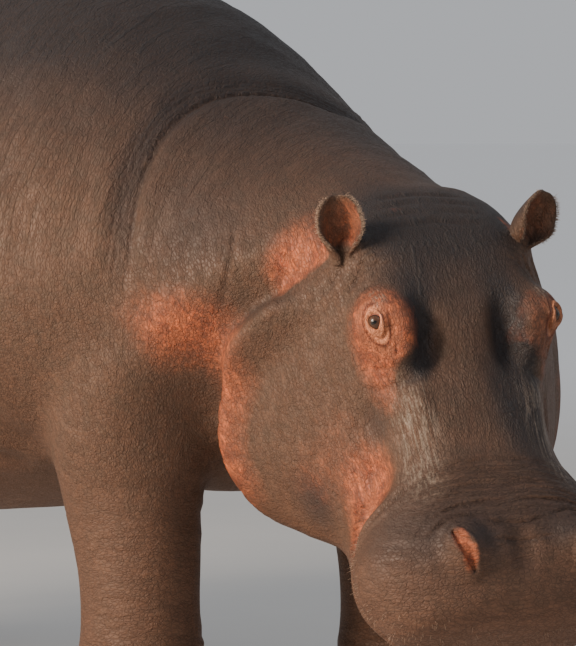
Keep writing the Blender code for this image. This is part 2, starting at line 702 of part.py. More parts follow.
def main():
    clear_scene()
    frame = head_frame()
    trunk = sculpted_skin(frame)
    trunk.name = "trunk"
    carve(trunk, box_mesh(UNDER_FLOOR), "DIFFERENCE")
    legs = [part_off_leg(trunk, name) for name in LEGS]
    behind_ears = frame @ Matrix.Translation((HEAD_CUT, 0, 0)) @ Matrix.Rotation(HEAD_CUT_LEAN, 4, "Y")
    head = part_off(trunk, "head", box_mesh, HEAD_REGION, behind_ears)
    tail = part_off(trunk, "tail", box_mesh, TAIL_REGION)
    fold = Matrix.Translation(FOLD_PLACE) @ Matrix.Rotation(FOLD_PITCH, 4, "Y")
    neck = part_off(trunk, "neck", box_mesh, NECK_REGION, fold)
    kinds = {
        "hide": [trunk, neck, head, tail] + legs,
        "eye": [make_eye("eye_left", 1, frame, head), make_eye("eye_right", -1, frame, head)],
        "ear_skin": [make_ear(name, frame, head) for name in EARS],
        "nail": [nail for leg in legs for nail in make_nails(leg)],
    }
    for slot, objects in kinds.items():
        material = finish_material(slot, *FINISHES[slot])
        for obj in objects:
            obj.data.materials.clear()
            obj.data.materials.append(material)
            obj.data.shade_smooth()
            obj.data.set_sharp_from_angle(angle=SHARP_ANGLE)
    settle([obj for objects in kinds.values() for obj in objects])


def settle(objects):
    """Move the animal so that its bounding box stands centred on the origin."""
    corners = np.concatenate([read_points(obj.data) for obj in objects])
    low, high = corners.min(axis=0), corners.max(axis=0)
    shift = Matrix.Translation((-(low[0] + high[0]) / 2, -(low[1] + high[1]) / 2, 0.0))
    for obj in objects:
        obj.data.transform(shift)


if __name__ == "__main__":
    main()
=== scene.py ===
"""A life-size hippopotamus, standing still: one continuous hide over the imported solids, with its eyes,
nails and bristles, on a plain floor.

World frame: +X is the way the trunk faces, +Y is the animal's left, +Z is up, metres.
The head has a frame of its own: +X from poll to nostrils, +Y its left, +Z out of the forehead.
"""

import math

import bmesh
import bpy
import numpy as np
from bpy.props import FloatProperty, FloatVectorProperty, IntProperty, PointerProperty
from mathutils import Matrix, Vector, noise
from mathutils.bvhtree import BVHTree


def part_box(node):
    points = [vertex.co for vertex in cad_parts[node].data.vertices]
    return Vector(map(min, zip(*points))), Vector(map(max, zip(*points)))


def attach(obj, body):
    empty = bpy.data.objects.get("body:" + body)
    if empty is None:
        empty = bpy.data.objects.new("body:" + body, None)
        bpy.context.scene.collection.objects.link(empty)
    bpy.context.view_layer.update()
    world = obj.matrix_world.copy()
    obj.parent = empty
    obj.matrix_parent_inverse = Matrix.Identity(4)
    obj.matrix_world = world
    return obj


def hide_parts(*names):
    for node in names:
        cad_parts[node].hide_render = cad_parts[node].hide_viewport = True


bl_info = {
    "name": "Hippopotamus",
    "version": (1, 0, 0),
    "blender": (4, 5, 0),
    "location": "View3D > Sidebar > Hippopotamus",
    "description": "Hide, eyes, nails and bristles of a life-size standing hippopotamus",
    "category": "Object",
}

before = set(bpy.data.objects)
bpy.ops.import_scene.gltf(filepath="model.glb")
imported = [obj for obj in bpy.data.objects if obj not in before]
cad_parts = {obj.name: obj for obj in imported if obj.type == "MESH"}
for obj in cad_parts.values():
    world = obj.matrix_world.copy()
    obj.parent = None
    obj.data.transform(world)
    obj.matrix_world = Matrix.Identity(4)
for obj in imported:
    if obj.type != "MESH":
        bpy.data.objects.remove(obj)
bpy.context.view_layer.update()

Y = np.array([0.0, 1.0, 0.0])
Z = np.array([0.0, 0.0, 1.0])
BODY = "root"
FLESH = (
    "trunk", "neck", "head", "tail", "foreleg_right", "foreleg_left", "hindleg_right", "hindleg_left",
    "ear_right", "ear_left",
)

# ---------------------------------------------------------------- the animal's build
POLL = Vector((1.225, -0.115, 0.905))  # top of the skull, midway between the ears
HEAD_PITCH = math.radians(57.8)
HEAD_YAW = math.radians(-23.3)
HEAD_ROLL = math.radians(2.6)
EYE_RADIUS = 0.024
EYE_PLACE = (0.164, 0.160, -0.008)  # head frame, left eye

# Trunk and neck, tail end to head: middle x, y, z, nose-down pitch and left yaw in degrees,
# half width, rise above and drop below the middle.
TRUNK_STATIONS = [
    (-1.350, 0.000, 0.880, -20, 0, 0.120, 0.170, 0.180),
    (-1.310, 0.000, 0.870, -16, 0, 0.250, 0.330, 0.290),
    (-1.190, 0.000, 0.860, -10, 0, 0.375, 0.470, 0.360),
    (-0.950, 0.000, 0.845, -4, 0, 0.470, 0.580, 0.410),
    (-0.600, 0.000, 0.830, 0, 0, 0.535, 0.610, 0.450),
    (-0.200, 0.000, 0.820, 0, 0, 0.570, 0.610, 0.460),
    (0.180, 0.000, 0.820, 2, 0, 0.560, 0.580, 0.450),
    (0.440, 0.000, 0.820, 6, 0, 0.515, 0.515, 0.420),
    (0.620, 0.000, 0.795, 12, -2, 0.455, 0.400, 0.380),
    (0.760, -0.005, 0.755, 18, -6, 0.395, 0.345, 0.350),
    (0.890, -0.025, 0.730, 28, -12, 0.345, 0.315, 0.330),
    (1.000, -0.055, 0.700, 38, -17, 0.275, 0.290, 0.300),
    (1.080, -0.080, 0.660, 46, -20, 0.210, 0.220, 0.240),
    (1.130, -0.095, 0.620, 50, -20, 0.130, 0.130, 0.120),
]
BACK_SQUARE = 1.9  # exponent of the superellipse over the back
BELLY_SQUARE = 2.25
BODY_AROUND = 64
BODY_RINGS = 110

# Head, nape to lip, in its own frame: x, then half of the outline from crown to keel as
# crown height, brow edge (y, z), cheek (y, z), jowl (y, z), jaw edge (y, z) and keel height.
HEAD_STATIONS = [
    (-0.160, -0.085, 0.130, -0.105, 0.190, -0.190, 0.180, -0.300, 0.110, -0.380, -0.400),
    (-0.080, -0.030, 0.145, -0.048, 0.212, -0.165, 0.235, -0.315, 0.150, -0.420, -0.445),
    (0.000, 0.004, 0.146, -0.012, 0.222, -0.140, 0.285, -0.345, 0.205, -0.470, -0.475),
    (0.090, 0.006, 0.146, -0.010, 0.224, -0.130, 0.308, -0.370, 0.240, -0.495, -0.475),
    (0.180, -0.002, 0.138, -0.018, 0.205, -0.125, 0.300, -0.370, 0.262, -0.495, -0.465),
    (0.270, -0.018, 0.122, -0.032, 0.175, -0.125, 0.272, -0.358, 0.260, -0.486, -0.445),
    (0.350, -0.028, 0.108, -0.042, 0.158, -0.120, 0.220, -0.318, 0.215, -0.432, -0.405),
    (0.430, -0.028, 0.108, -0.040, 0.168, -0.110, 0.190, -0.240, 0.170, -0.360, -0.372),
    (0.500, -0.016, 0.130, -0.030, 0.210, -0.100, 0.220, -0.195, 0.175, -0.325, -0.350),
    (0.570, -0.004, 0.150, -0.018, 0.240, -0.092, 0.248, -0.180, 0.185, -0.300, -0.335),
    (0.630, -0.004, 0.150, -0.020, 0.238, -0.092, 0.244, -0.178, 0.180, -0.280, -0.315),
    (0.680, -0.030, 0.135, -0.045, 0.208, -0.100, 0.214, -0.180, 0.155, -0.255, -0.285),
]
MUZZLE_DEPTH = 0.050  # how far the rounded front stands beyond the last station
MUZZLE_MIDDLE = -0.150
MUZZLE_BLUNT = 0.62  # below one, the front is blunter than an ellipse
MUZZLE_LEAST = 0.02  # where its cap ends, of the last outline
HEAD_AROUND = 72
HEAD_RINGS = 90
CAP_RINGS = 12

# Legs, top to sole: x, y and z of the middle, half length, half width. They run on below the
# floor, where the soles are cut flat.
FORELEG = [
    (-0.050, -0.100, 1.000, 0.150, 0.090),
    (-0.030, -0.045, 0.860, 0.190, 0.140),
    (0.000, -0.012, 0.700, 0.185, 0.160),
    (0.000, 0.000, 0.560, 0.155, 0.150),
    (-0.015, 0.000, 0.430, 0.128, 0.128),
    (0.000, 0.000, 0.310, 0.112, 0.114),
    (0.005, 0.000, 0.200, 0.106, 0.112),
    (0.010, 0.000, 0.110, 0.118, 0.128),
    (0.030, 0.000, 0.055, 0.140, 0.142),
    (0.035, 0.000, 0.018, 0.146, 0.148),
    (0.035, 0.000, -0.030, 0.146, 0.148),
]
HINDLEG = [
    (0.100, -0.120, 1.120, 0.240, 0.110),
    (0.080, -0.070, 0.960, 0.300, 0.165),
    (0.070, -0.025, 0.780, 0.300, 0.185),
    (0.050, -0.005, 0.620, 0.245, 0.180),
    (0.000, 0.000, 0.480, 0.175, 0.152),
    (-0.040, 0.000, 0.360, 0.132, 0.125),
    (-0.035, 0.000, 0.250, 0.110, 0.110),
    (-0.015, 0.000, 0.140, 0.110, 0.112),
    (0.015, 0.000, 0.060, 0.130, 0.128),
    (0.022, 0.000, 0.018, 0.138, 0.136),
    (0.022, 0.000, -0.030, 0.138, 0.136),
]
LEG_AROUND = 40
LEG_RINGS = 44
ANKLE_HEIGHT = 0.160  # the foot turns out below it
# name: stations, x and y of the leg's middle, turn of the foot in degrees
LEGS = {
    "foreleg_right": (FORELEG, 0.640, -0.270, -8),
    "foreleg_left": (FORELEG, 0.790, 0.265, 6),
    "hindleg_right": (HINDLEG, -0.830, -0.275, -7),
    "hindleg_left": (HINDLEG, -0.960, 0.275, 7),
}
TOE_BEARINGS = (-57.0, -19.0, 19.0, 57.0)  # of each toe from straight ahead, degrees

# Tail, root to tip: x, z, half width across, half depth.
TAIL_STATIONS = [
    (-1.230, 1.160, 0.075, 0.080),
    (-1.345, 1.100, 0.064, 0.060),
    (-1.425, 1.010, 0.050, 0.046),
    (-1.462, 0.910, 0.040, 0.036),
    (-1.476, 0.810, 0.031, 0.032),
    (-1.478, 0.710, 0.020, 0.032),
    (-1.474, 0.660, 0.012, 0.022),
]
TAIL_AROUND = 20
TAIL_RINGS = 40

# Strokes on the head, in its own frame and mirrored: centre, radii of reach, push.
HEAD_STROKES = [
    ((0.165, 0.140, -0.010), (0.110, 0.100, 0.100), (0.000, 0.028, 0.018)),  # orbit
    ((0.162, 0.165, -0.005), (0.065, 0.065, 0.065), (0.000, 0.016, 0.004)),  # eyelids
    ((0.240, 0.065, -0.010), (0.120, 0.065, 0.070), (0.000, 0.000, -0.009)),  # hollow before the brow
    ((0.060, 0.165, -0.040), (0.055, 0.060, 0.060), (0.000, -0.012, -0.008)),  # between ear and eye
    ((0.400, 0.185, -0.150), (0.090, 0.060, 0.070), (0.000, -0.022, 0.000)),  # mouth corner
    ((0.610, 0.108, 0.000), (0.075, 0.060, 0.060), (0.000, 0.004, 0.024)),  # nostril mound
    ((0.620, 0.000, 0.000), (0.070, 0.040, 0.050), (0.000, 0.000, -0.012)),  # between the nostrils
    ((0.010, 0.165, -0.040), (0.055, 0.055, 0.055), (-0.012, 0.008, 0.012)),  # ear root
    ((0.150, 0.270, -0.400), (0.150, 0.110, 0.110), (0.000, 0.014, -0.008)),  # jowl
]
MOUTH_LINE = [
    (0.425, 0.185, -0.150),
    (0.450, 0.200, -0.185),
    (0.520, 0.230, -0.212),
    (0.600, 0.245, -0.216),
    (0.665, 0.215, -0.212),
    (0.712, 0.130, -0.205),
    (0.722, 0.000, -0.203),
]
MOUTH_GROOVE = (0.020, 0.014)  # half width, depth
# The step from the jowl down to the neck, ear to throat: points along its foot, x and z.
JOWL_LINE = [(-0.010, -0.045), (0.010, -0.125), (0.024, -0.205), (0.044, -0.275),
             (0.085, -0.350), (0.150, -0.420), (0.235, -0.465), (0.320, -0.480)]
JOWL_STEPS = 80
JOWL_SUNK = 0.034  # depth of its foot under the neck's own surface
JOWL_PROUD = 0.018
JOWL_RISE = 0.022  # distance over which the jowl rises from the foot
JOWL_EASE = 0.090  # distance over which either side returns to the solids' own surface
JOWL_ENDS = (0.16, 0.25)  # parts of its length over which it comes in at the ear and fades at the throat
JOWL_SIDE = (0.08, 0.16)  # distance from the middle at which it comes in

# Strokes on the trunk and legs, mirrored: centre, radii of reach, push.
BODY_STROKES = [
    ((0.500, 0.460, 0.780), (0.260, 0.300, 0.420), (0.000, 0.036, 0.000)),  # shoulder
    ((0.190, 0.520, 0.840), (0.260, 0.300, 0.440), (0.000, -0.014, 0.000)),  # behind the shoulder
    ((-0.150, 0.350, 0.420), (0.600, 0.400, 0.280), (0.000, 0.018, -0.022)),  # belly
    ((-0.560, 0.500, 0.740), (0.260, 0.300, 0.440), (0.000, -0.020, 0.000)),  # flank hollow
    ((-0.930, 0.420, 0.820), (0.330, 0.300, 0.460), (0.000, 0.045, 0.000)),  # haunch
    ((-1.250, 0.200, 0.900), (0.200, 0.220, 0.360), (-0.030, 0.000, 0.000)),  # buttock
    ((0.620, 0.380, 0.500), (0.100, 0.200, 0.140), (-0.012, 0.012, 0.000)),  # elbow
]
# The fold behind the neck, from low on its left over the top to low on its right.
FOLD_PATH = [(0.735, 0.385, 0.800), (0.750, 0.350, 0.930), (0.772, 0.270, 1.025), (0.786, 0.180, 1.082),
             (0.788, 0.100, 1.118), (0.766, 0.010, 1.147), (0.737, -0.080, 1.156), (0.718, -0.156, 1.148),
             (0.710, -0.225, 1.122), (0.705, -0.283, 1.074), (0.709, -0.327, 1.018), (0.711, -0.347, 0.966),
             (0.722, -0.373, 0.919), (0.727, -0.393, 0.859), (0.722, -0.400, 0.804)]
FOLD_HUB = 0.850  # height its bearings are taken about
FOLD_DEPTH = 0.009
FOLD_SLOPES = (0.060, 0.018)  # reach of the dip behind the fold and ahead of it
FOLD_FADE = (112.0, 60.0)  # bearings between which the dip fades out, in degrees
FOLD_DARK = (0.28, -0.020, 0.037)  # painted shade along the fold, on the shoulder's side of it: strength, middle ahead of it, reach
# Its creases: distance ahead of the path, half width, depth.
FOLD_LINES = [(0.000, 0.0065, 0.0070), (-0.014, 0.0050, 0.0036),
              (-0.028, 0.0050, 0.0030), (-0.044, 0.0050, 0.0024)]
# Toes, and the clefts between them: height, radii of reach and outward push.
TOE_STROKE = (0.046, (0.055, 0.050, 0.060), 0.013)
CLEFT_STROKE = (0.030, (0.028, 0.028, 0.060), -0.010)

# ---------------------------------------------------------------- how finely the hide is meshed
SMOOTHING = 0.6
FOOT_SPARED = 0.100  # height below which a foot is hardly smoothed
HEAD_SPARED = 0.020  # the same for the head, ahead of its poll, and for the tail, behind its root
HEAD_BLEND = 0.120
TAIL_SPARED = -1.380
TAIL_BLEND = 0.050
LEAST_SMOOTHED = (0.10, 0.12, 0.08)  # of the full smoothing, on the feet, the head and the tail
SMOOTHING_ROUNDS = 40  # for a grain of SMOOTHING_GRAIN, and fewer for a coarser one
SMOOTHING_GRAIN = 0.013
# Halved once: the head, by its frame's least x, greatest y and least z; the feet, below a height; and
# a strip by the neck's fold, by its middle's distance behind the fold and its half width.
HEAD_FINE = (-0.13, 0.36, -0.54)
FOOT_FINE = 0.20
FOLD_FINE = (0.010, 0.055)
# Halved again, head frame, mirrored: centre, reach.
EAR_ROOTS = [((0.010, 0.165, -0.035), 0.050)]
FINE_SPOTS = [(EYE_PLACE, 0.105), ((0.620, 0.115, 0.000), 0.085), ((0.460, 0.190, -0.130), 0.090), *EAR_ROOTS]
FINER_SPOTS = [(EYE_PLACE, 0.060), ((0.605, 0.120, 0.005), 0.030), ((0.635, 0.107, 0.005), 0.030)]
LIDS_FINEST = (0.022, 0.026)  # distance out of the eye's middle, reach

# ---------------------------------------------------------------- ears
EAR_LENGTH = 0.109
EAR_HALF_WIDTH = 0.037
EAR_FOOT = (0.42, 0.58)  # parts of it at the foot, and gained by half way up
EAR_BLUNT = 2.3  # above two, the ear ends more bluntly than an ellipse
EAR_LEAN = 0.020
EAR_WRAP = (65.0, 95.0)  # curl of the sheet to either side at the tip, and how much more at the root, degrees
EAR_WRAP_FALL = 1.8  # above one, the sheet uncurls faster near the root
EAR_WALL = (0.0012, 0.0040, 0.0018)  # half thickness: at the rim, more within it, and less of that at the tip
EAR_RIDGE = 0.0014
EAR_RIDGE_RISE = (0.1, 0.4)  # from root to tip, where the ridges start and are whole
EAR_RIDGE_FADE = (0.7, 0.95)
EAR_RIM = (6, 0.10)  # the wall is whole a sixth of the way in from each side, and a tenth from the tip
EAR_ROWS = 44
EAR_COLUMNS = 33
EAR_ROOT = -0.14  # how far the root runs on into the head, of the ear's length
EAR_TIP = 0.985  # where its last row stands
# Root of each ear in the head frame, the way it points, and the way its cup opens.
EARS = {
    "ear_right": ((0.010, -0.176, -0.040), (-0.80, -0.14, 0.58), (0.62, -0.31, 0.72)),
    "ear_left": ((0.010, 0.154, -0.030), (-0.66, 0.44, 0.61), (0.62, 0.31, 0.72)),
}

# ---------------------------------------------------------------- eyes, head frame, left side
EYE_AXIS = (0.38, 0.64, 0.66)  # way the eye looks
EYE_SWELL = 0.012  # how far the turret stands out under the lids
EYE_SWELL_REACH = 0.060
LID_THICKNESS = 0.0022
LID_LOOSE = 0.002  # how much further off the ball they may stand
LID_ROUNDED = (math.radians(50.0), math.radians(100.0))  # spread from the axis where the lids leave the ball
OPENING_LENGTH = 0.0190  # half the opening's length, corner to corner
OPENING_WIDTH = 0.0150
OPENING_BEHIND = 0.001  # of its middle, behind the eye's axis
OPENING_SHAPE = (0.6, 0.38)  # exponent of its outline, and how much narrower it is in front
OPENING_RIM = (-0.0002, 0.0012)  # how far within its edge the opening starts and is whole
OPENING_DEPTH = 0.006  # of the hide under the ball's surface
LID_BAND = (0.0215, 0.038)  # half width and half length of the ring of folds round the lids
LID_BAND_AHEAD = 0.005
LID_BAND_REACH = 2.5  # how far from the eye's middle it may lie, of the eye's radius
# Folds along that ring: height, place across it, where 1 is the ring itself, and reach.
LID_FOLDS = [(0.0022, 0.74, 0.24), (-0.0055, 1.0, 0.17), (0.002, 1.3, 0.22)]
LID_FAN = (0.0012, 1.9, 0.6)  # the same for the fine folds that fan out ahead of it
LID_FAN_COUNT = 26  # in a full turn
LID_FAN_WHOLE = 0.02  # how far ahead of the eye's middle they are whole
LID_FOLDS_END = (math.radians(70), math.radians(100))  # spread from the axis where the folds fade out
LID_RIM = (1.12, 0.82)  # place across the ring where the pale rims start and are whole
LID_GLOW = (0.35, 0.0, 2.4)  # strength, middle and reach of the paler skin round them
LID_GUTTER = (1.0, 1.0, 0.14)  # the same for the red fold round them, its dark partly painted shade in the fold

EYE_AROUND = 64
EYE_RINGS = 48
EYE_EASE = 0.0002
CORNEA_RISE = 0.0018
CORNEA_SPREAD = math.radians(36)

# ---------------------------------------------------------------- nails
NAIL_RADII = (0.0125, 0.0260, 0.0270)  # outward, across, up
NAIL_HEIGHT = 0.0275
NAIL_STAND = 0.005  # beyond the foot's rim
NAIL_AROUND = 48
NAIL_ROWS = 36
NAIL_LEAN = 0.38  # of the upper edge inward, of the outward radius
NAIL_SQUARE = (0.88, 0.62)  # above and below; under one, the nail is squarer than an ellipsoid
NAIL_THINNED = 0.22  # toward its upper edge
NAIL_NARROWED = 0.20
NAIL_RIDGES = 26.0  # radians of their wave in half the nail's height
NAIL_RIDGE = 0.030  # their height, of the outward radius
NAIL_RIDGES_OUT = (0.2, 0.8)  # outward, where they start and are whole

# ---------------------------------------------------------------- bristles
BRISTLE_STEPS = (0.0, 0.35, 0.70)  # of its length, where a bristle has its rings
BRISTLE_TAPER = 0.7  # below one, a bristle tapers mostly near its tip
BRISTLE_CROSS = (0.31, 0.83, 0.46)  # a direction that none stands along
BAKE_PATCH = 0.003
BAKE_MARGIN = 0.02
BRISTLE_SCATTER = 0.003  # of the roots about the hide's points
BRISTLE_TILT = 0.25
BRISTLE_SUNK = 0.0008
# name, where it grows as (centre, radii) in the head's frame mirrored or in the body's, how many,
# shortest and longest, half thickness at the root, lean downward, and sag.
BRISTLE_BEDS = [
    ("ears", None, 1500, (0.004, 0.009), 0.00036, 0.0, 0.0),
    ("muzzle", [("head", (0.680, 0.110, -0.140), (0.070, 0.130, 0.070)),
                ("head", (0.580, 0.235, -0.170), (0.080, 0.040, 0.040))],
     300, (0.006, 0.014), 0.00035, 0.2, 0.15),
    ("chin", [("head", (0.620, 0.080, -0.280), (0.100, 0.130, 0.060))],
     160, (0.006, 0.014), 0.00035, 0.2, 0.15),
    ("tail", [("body", (-1.476, 0.000, 0.720), (0.040, 0.060, 0.110))],
     420, (0.030, 0.062), 0.00060, 0.3, 0.50),
]
# The ears' bristles: ends of their row on the rim, as parts of the ear's length, spread about it, and tilt.
FRINGE_ENDS = (0.12, 0.97)
FRINGE_SPREAD = 0.0016
FRINGE_TILT = 0.22
FRINGE_STEP = 0.01  # along the rim, over which its run is taken
FRINGE_WAY = (0.25, 0.4, 0.25)  # with the rim's run, toward the tip, and out of the cup

# ---------------------------------------------------------------- nostrils, head frame, left side
NOSTRIL = ((0.585, 0.128), (0.652, 0.100))  # ends of the slit, x and y
NOSTRIL_WIDTH = 0.0110
NOSTRIL_TAPER = 0.7  # how much narrower it is at its ends
NOSTRIL_DEPTH = 0.0075
NOSTRIL_WALL = (-0.005, 0.001)  # from the slit's edge, where the floor ends and the wall is at its top
NOSTRIL_RIM = (0.004, 0.006, 0.009)  # height, place beyond the slit's edge, reach
SNOUT_TOP = -0.07  # least height of the snout's upper side, head frame

# Softer strokes over the solids' own, head frame, mirrored: centre, radii of reach, push.
FACE_STROKES = [
    ((0.188, 0.128, -0.005), (0.085, 0.052, 0.070), (0.000, -0.001, 0.022)),  # turret
    ((0.192, 0.077, -0.010), (0.092, 0.042, 0.060), (0.000, 0.000, -0.028)),  # hollow beside it
    ((0.252, 0.118, -0.030), (0.045, 0.036, 0.050), (0.000, 0.000, -0.012)),
    ((0.330, 0.110, -0.040), (0.110, 0.030, 0.050), (0.000, 0.000, 0.007)),  # ridge down the snout
    ((0.300, 0.170, -0.120), (0.070, 0.050, 0.060), (0.000, -0.012, 0.000)),  # hollow under the eye
]
# Thin skin that shows the blood, as centre, radii of reach and strength: on the head, mirrored, in its frame.
HEAD_FLUSH = [
    ((0.184, 0.158, -0.012), (0.112, 0.096, 0.100), 1.80),  # turret
    ((0.250, 0.112, -0.030), (0.060, 0.050, 0.060), -0.90),  # painted shade: less flush in the hollow under its front
    ((0.235, 0.165, -0.060), (0.085, 0.060, 0.070), 0.60),  # below it
    ((0.280, 0.145, -0.070), (0.060, 0.050, 0.050), 0.35),
    ((0.395, 0.165, -0.180), (0.100, 0.090, 0.100), 1.15),  # mouth corner
    ((0.460, 0.200, -0.215), (0.080, 0.060, 0.070), 1.00),
    ((0.340, 0.190, -0.220), (0.200, 0.120, 0.160), 0.35),  # cheek before it
    ((0.603, 0.119, -0.002), (0.034, 0.021, 0.040), 1.60),  # nostril
    ((0.632, 0.107, -0.002), (0.034, 0.020, 0.040), 1.60),
    ((0.300, 0.245, -0.300), (0.130, 0.090, 0.090), 0.14),  # lower cheek
]
# Behind the jowl's edge, up to the ear.
JOWL_EDGE = 0.006  # half the width over which it comes in
BEHIND_JOWL = [
    ((-0.008, 0.240, -0.118), (0.090, 0.085, 0.085), 1.60),
    ((-0.040, 0.220, -0.085), (0.130, 0.110, 0.090), 0.60),
]
JOWL_FLUSH = (1.00, 0.027, 0.080)  # flush along the jowl's edge, partly painted light where the side light grazes it: strength, middle ahead of the edge, reach
# How far down the edge it comes in, is whole, starts to fade and ends.
JOWL_FLUSH_ENDS = (0.40, 0.58, 0.80, 1.00)
JOWL_DARK = (0.35, -0.030, 0.050)  # painted shade behind it
JOWL_DARK_STARTS = (0.15, 0.35)  # how far down the edge that comes in
JOWL_DARK_SIDE = 0.12  # least distance from the middle
# On the body, in its own frame.
BODY_FLUSH = [
    ((0.855, -0.360, 0.722), (0.150, 0.140, 0.115), 1.1),  # side of the neck
    ((0.780, -0.380, 0.760), (0.120, 0.120, 0.080), 0.4),
    ((0.800, 0.300, 0.720), (0.110, 0.130, 0.090), 0.9),
    ((0.560, -0.180, 0.420), (0.180, 0.180, 0.160), 0.6),  # armpits
    ((0.640, 0.180, 0.420), (0.180, 0.180, 0.160), 0.6),
]
# Inside the ears: strength, and strength on the wall next to the head; where it starts and is whole,
# and where it fades, along the ear; by the way the hide faces; and across the ear, to the wall.
EAR_FLUSH = (0.25, 0.60)
EAR_FLUSH_STARTS = (0.008, 0.022)
EAR_FLUSH_ENDS = (0.112, 0.082)
EAR_FLUSH_FACING = (-0.2, 0.3)
EAR_FLUSH_WALL = (-0.012, 0.020)
EAR_NEAR = (0.15, 0.05)  # reach from its root, and to either side of its sheet
FAR_FLUSH = 0.70  # painted shade: how much less the left side of the head, turned from the light, is flushed
FAR_LID = 0.50  # and of its lids, painted shade too
# Darker hide above, partly painted shade on the hide that faces up, and brown below: strength, and where each
# starts and is whole.
TOP_DARK = (0.44, -0.15, 0.80)  # by the upward part of the hide's normal
UNDER_BROWN = (0.45, -0.1, -0.8)
LOW_BROWN = (0.40, 0.62, 0.30)  # by height
# Where the hide's texture changes over: from the legs' to the trunk's, by height, and from the trunk's
# to the head's, by x in the head's frame and by height.
LIMB_ENDS = (0.50, 0.34)
SKULL_STARTS = (-0.30, -0.06)
SKULL_ABOVE = (0.30, 0.34)
# The top of the snout, by x behind and ahead and by z in the head's frame.
SNOUT_STARTS = (0.38, 0.47)
SNOUT_ENDS = (0.62, 0.56)
SNOUT_ABOVE = (-0.10, -0.03)
# Hide painted darker than the rest: on the head, mirrored, and on the body; partly the hide's own darker
# tone, partly painted shade on top, in hollows and under the jowl.
HEAD_DARK = [
    ((-0.060, 0.050, 0.000), (0.210, 0.210, 0.140), 0.75),  # crown: darker hide, partly painted shade on top
    ((0.182, 0.084, -0.010), (0.100, 0.044, 0.080), 1.15),  # painted shade in the hollow beside the turret
    # painted shade of that hollow, reaching toward the poll and ahead of it
    ((0.120, 0.080, 0.000), (0.100, 0.065, 0.080), 0.35),
    ((0.240, 0.108, -0.030), (0.052, 0.046, 0.060), 0.75),
    ((0.300, 0.165, -0.110), (0.070, 0.060, 0.060), 0.5),  # painted shade in the hollow under the eye
    ((0.150, 0.000, -0.010), (0.300, 0.140, 0.120), 0.18),  # forehead
    ((0.600, 0.078, 0.000), (0.080, 0.045, 0.060), 0.15),  # between the nostrils
    ((0.600, 0.120, -0.060), (0.180, 0.260, 0.180), 0.30),  # muzzle
    ((0.352, 0.215, -0.310), (0.130, 0.085, 0.095), 0.66),  # painted shade under the jowl
    ((0.090, 0.265, -0.170), (0.080, 0.060, 0.080), -0.20),  # upper cheek
]
# The same on one side only, head frame, left positive: painted shade on the left of the snout, and painted
# light on its right.
ONE_SIDE_DARK = [
    ((0.330, 0.085, -0.020), (0.200, 0.092, 0.090), 0.72),  # painted shade, left of the snout
    ((0.295, -0.066, -0.025), (0.120, 0.056, 0.080), -0.60),  # painted light, right of it, paler
]
BODY_DARK = [
    ((0.250, 0.000, 1.480), (1.200, 0.900, 0.700), 0.95),  # back: darker hide, partly painted shade on top
    ((-0.600, 0.000, 1.480), (1.100, 0.900, 0.700), 0.95),
    ((0.880, -0.200, 1.020), (0.260, 0.300, 0.280), 0.04),  # neck
    ((0.820, -0.350, 0.900), (0.200, 0.160, 0.180), 0.24),
    ((0.820, 0.350, 0.900), (0.200, 0.160, 0.180), 0.24),
]
# Hide rubbed pale, in streaks along the snout, head frame, mirrored.
SCUFFS = [
    ((0.340, 0.115, -0.055), (0.150, 0.055, 0.070), 1.3),
    ((0.440, 0.130, -0.060), (0.110, 0.055, 0.060), 1.1),
    ((0.126, 0.154, 0.003), (0.034, 0.018, 0.030), 2.4),
]

RIPPLES_IN = ((0.05, 0.25), (0.10, 0.35))  # distance behind the poll, and height, over which they come in
# Ripples of the body's hide: length along the body and across it, and height.
BODY_RIPPLES = [((0.060, 0.220), 0.0035), ((0.028, 0.110), 0.0014)]

# Spots that are rounded off after the strokes, head frame, mirrored: centre, reach.
SOFTENED = [((0.040, 0.215, -0.110), 0.090), ((0.060, 0.165, -0.040), 0.060)]
SOFTENED_ROUNDS = 30
EAR_ROOT_ROUNDS = 4
SOFTENING = 0.6  # of the way to its neighbours' middle in each round, in the middle of a spot

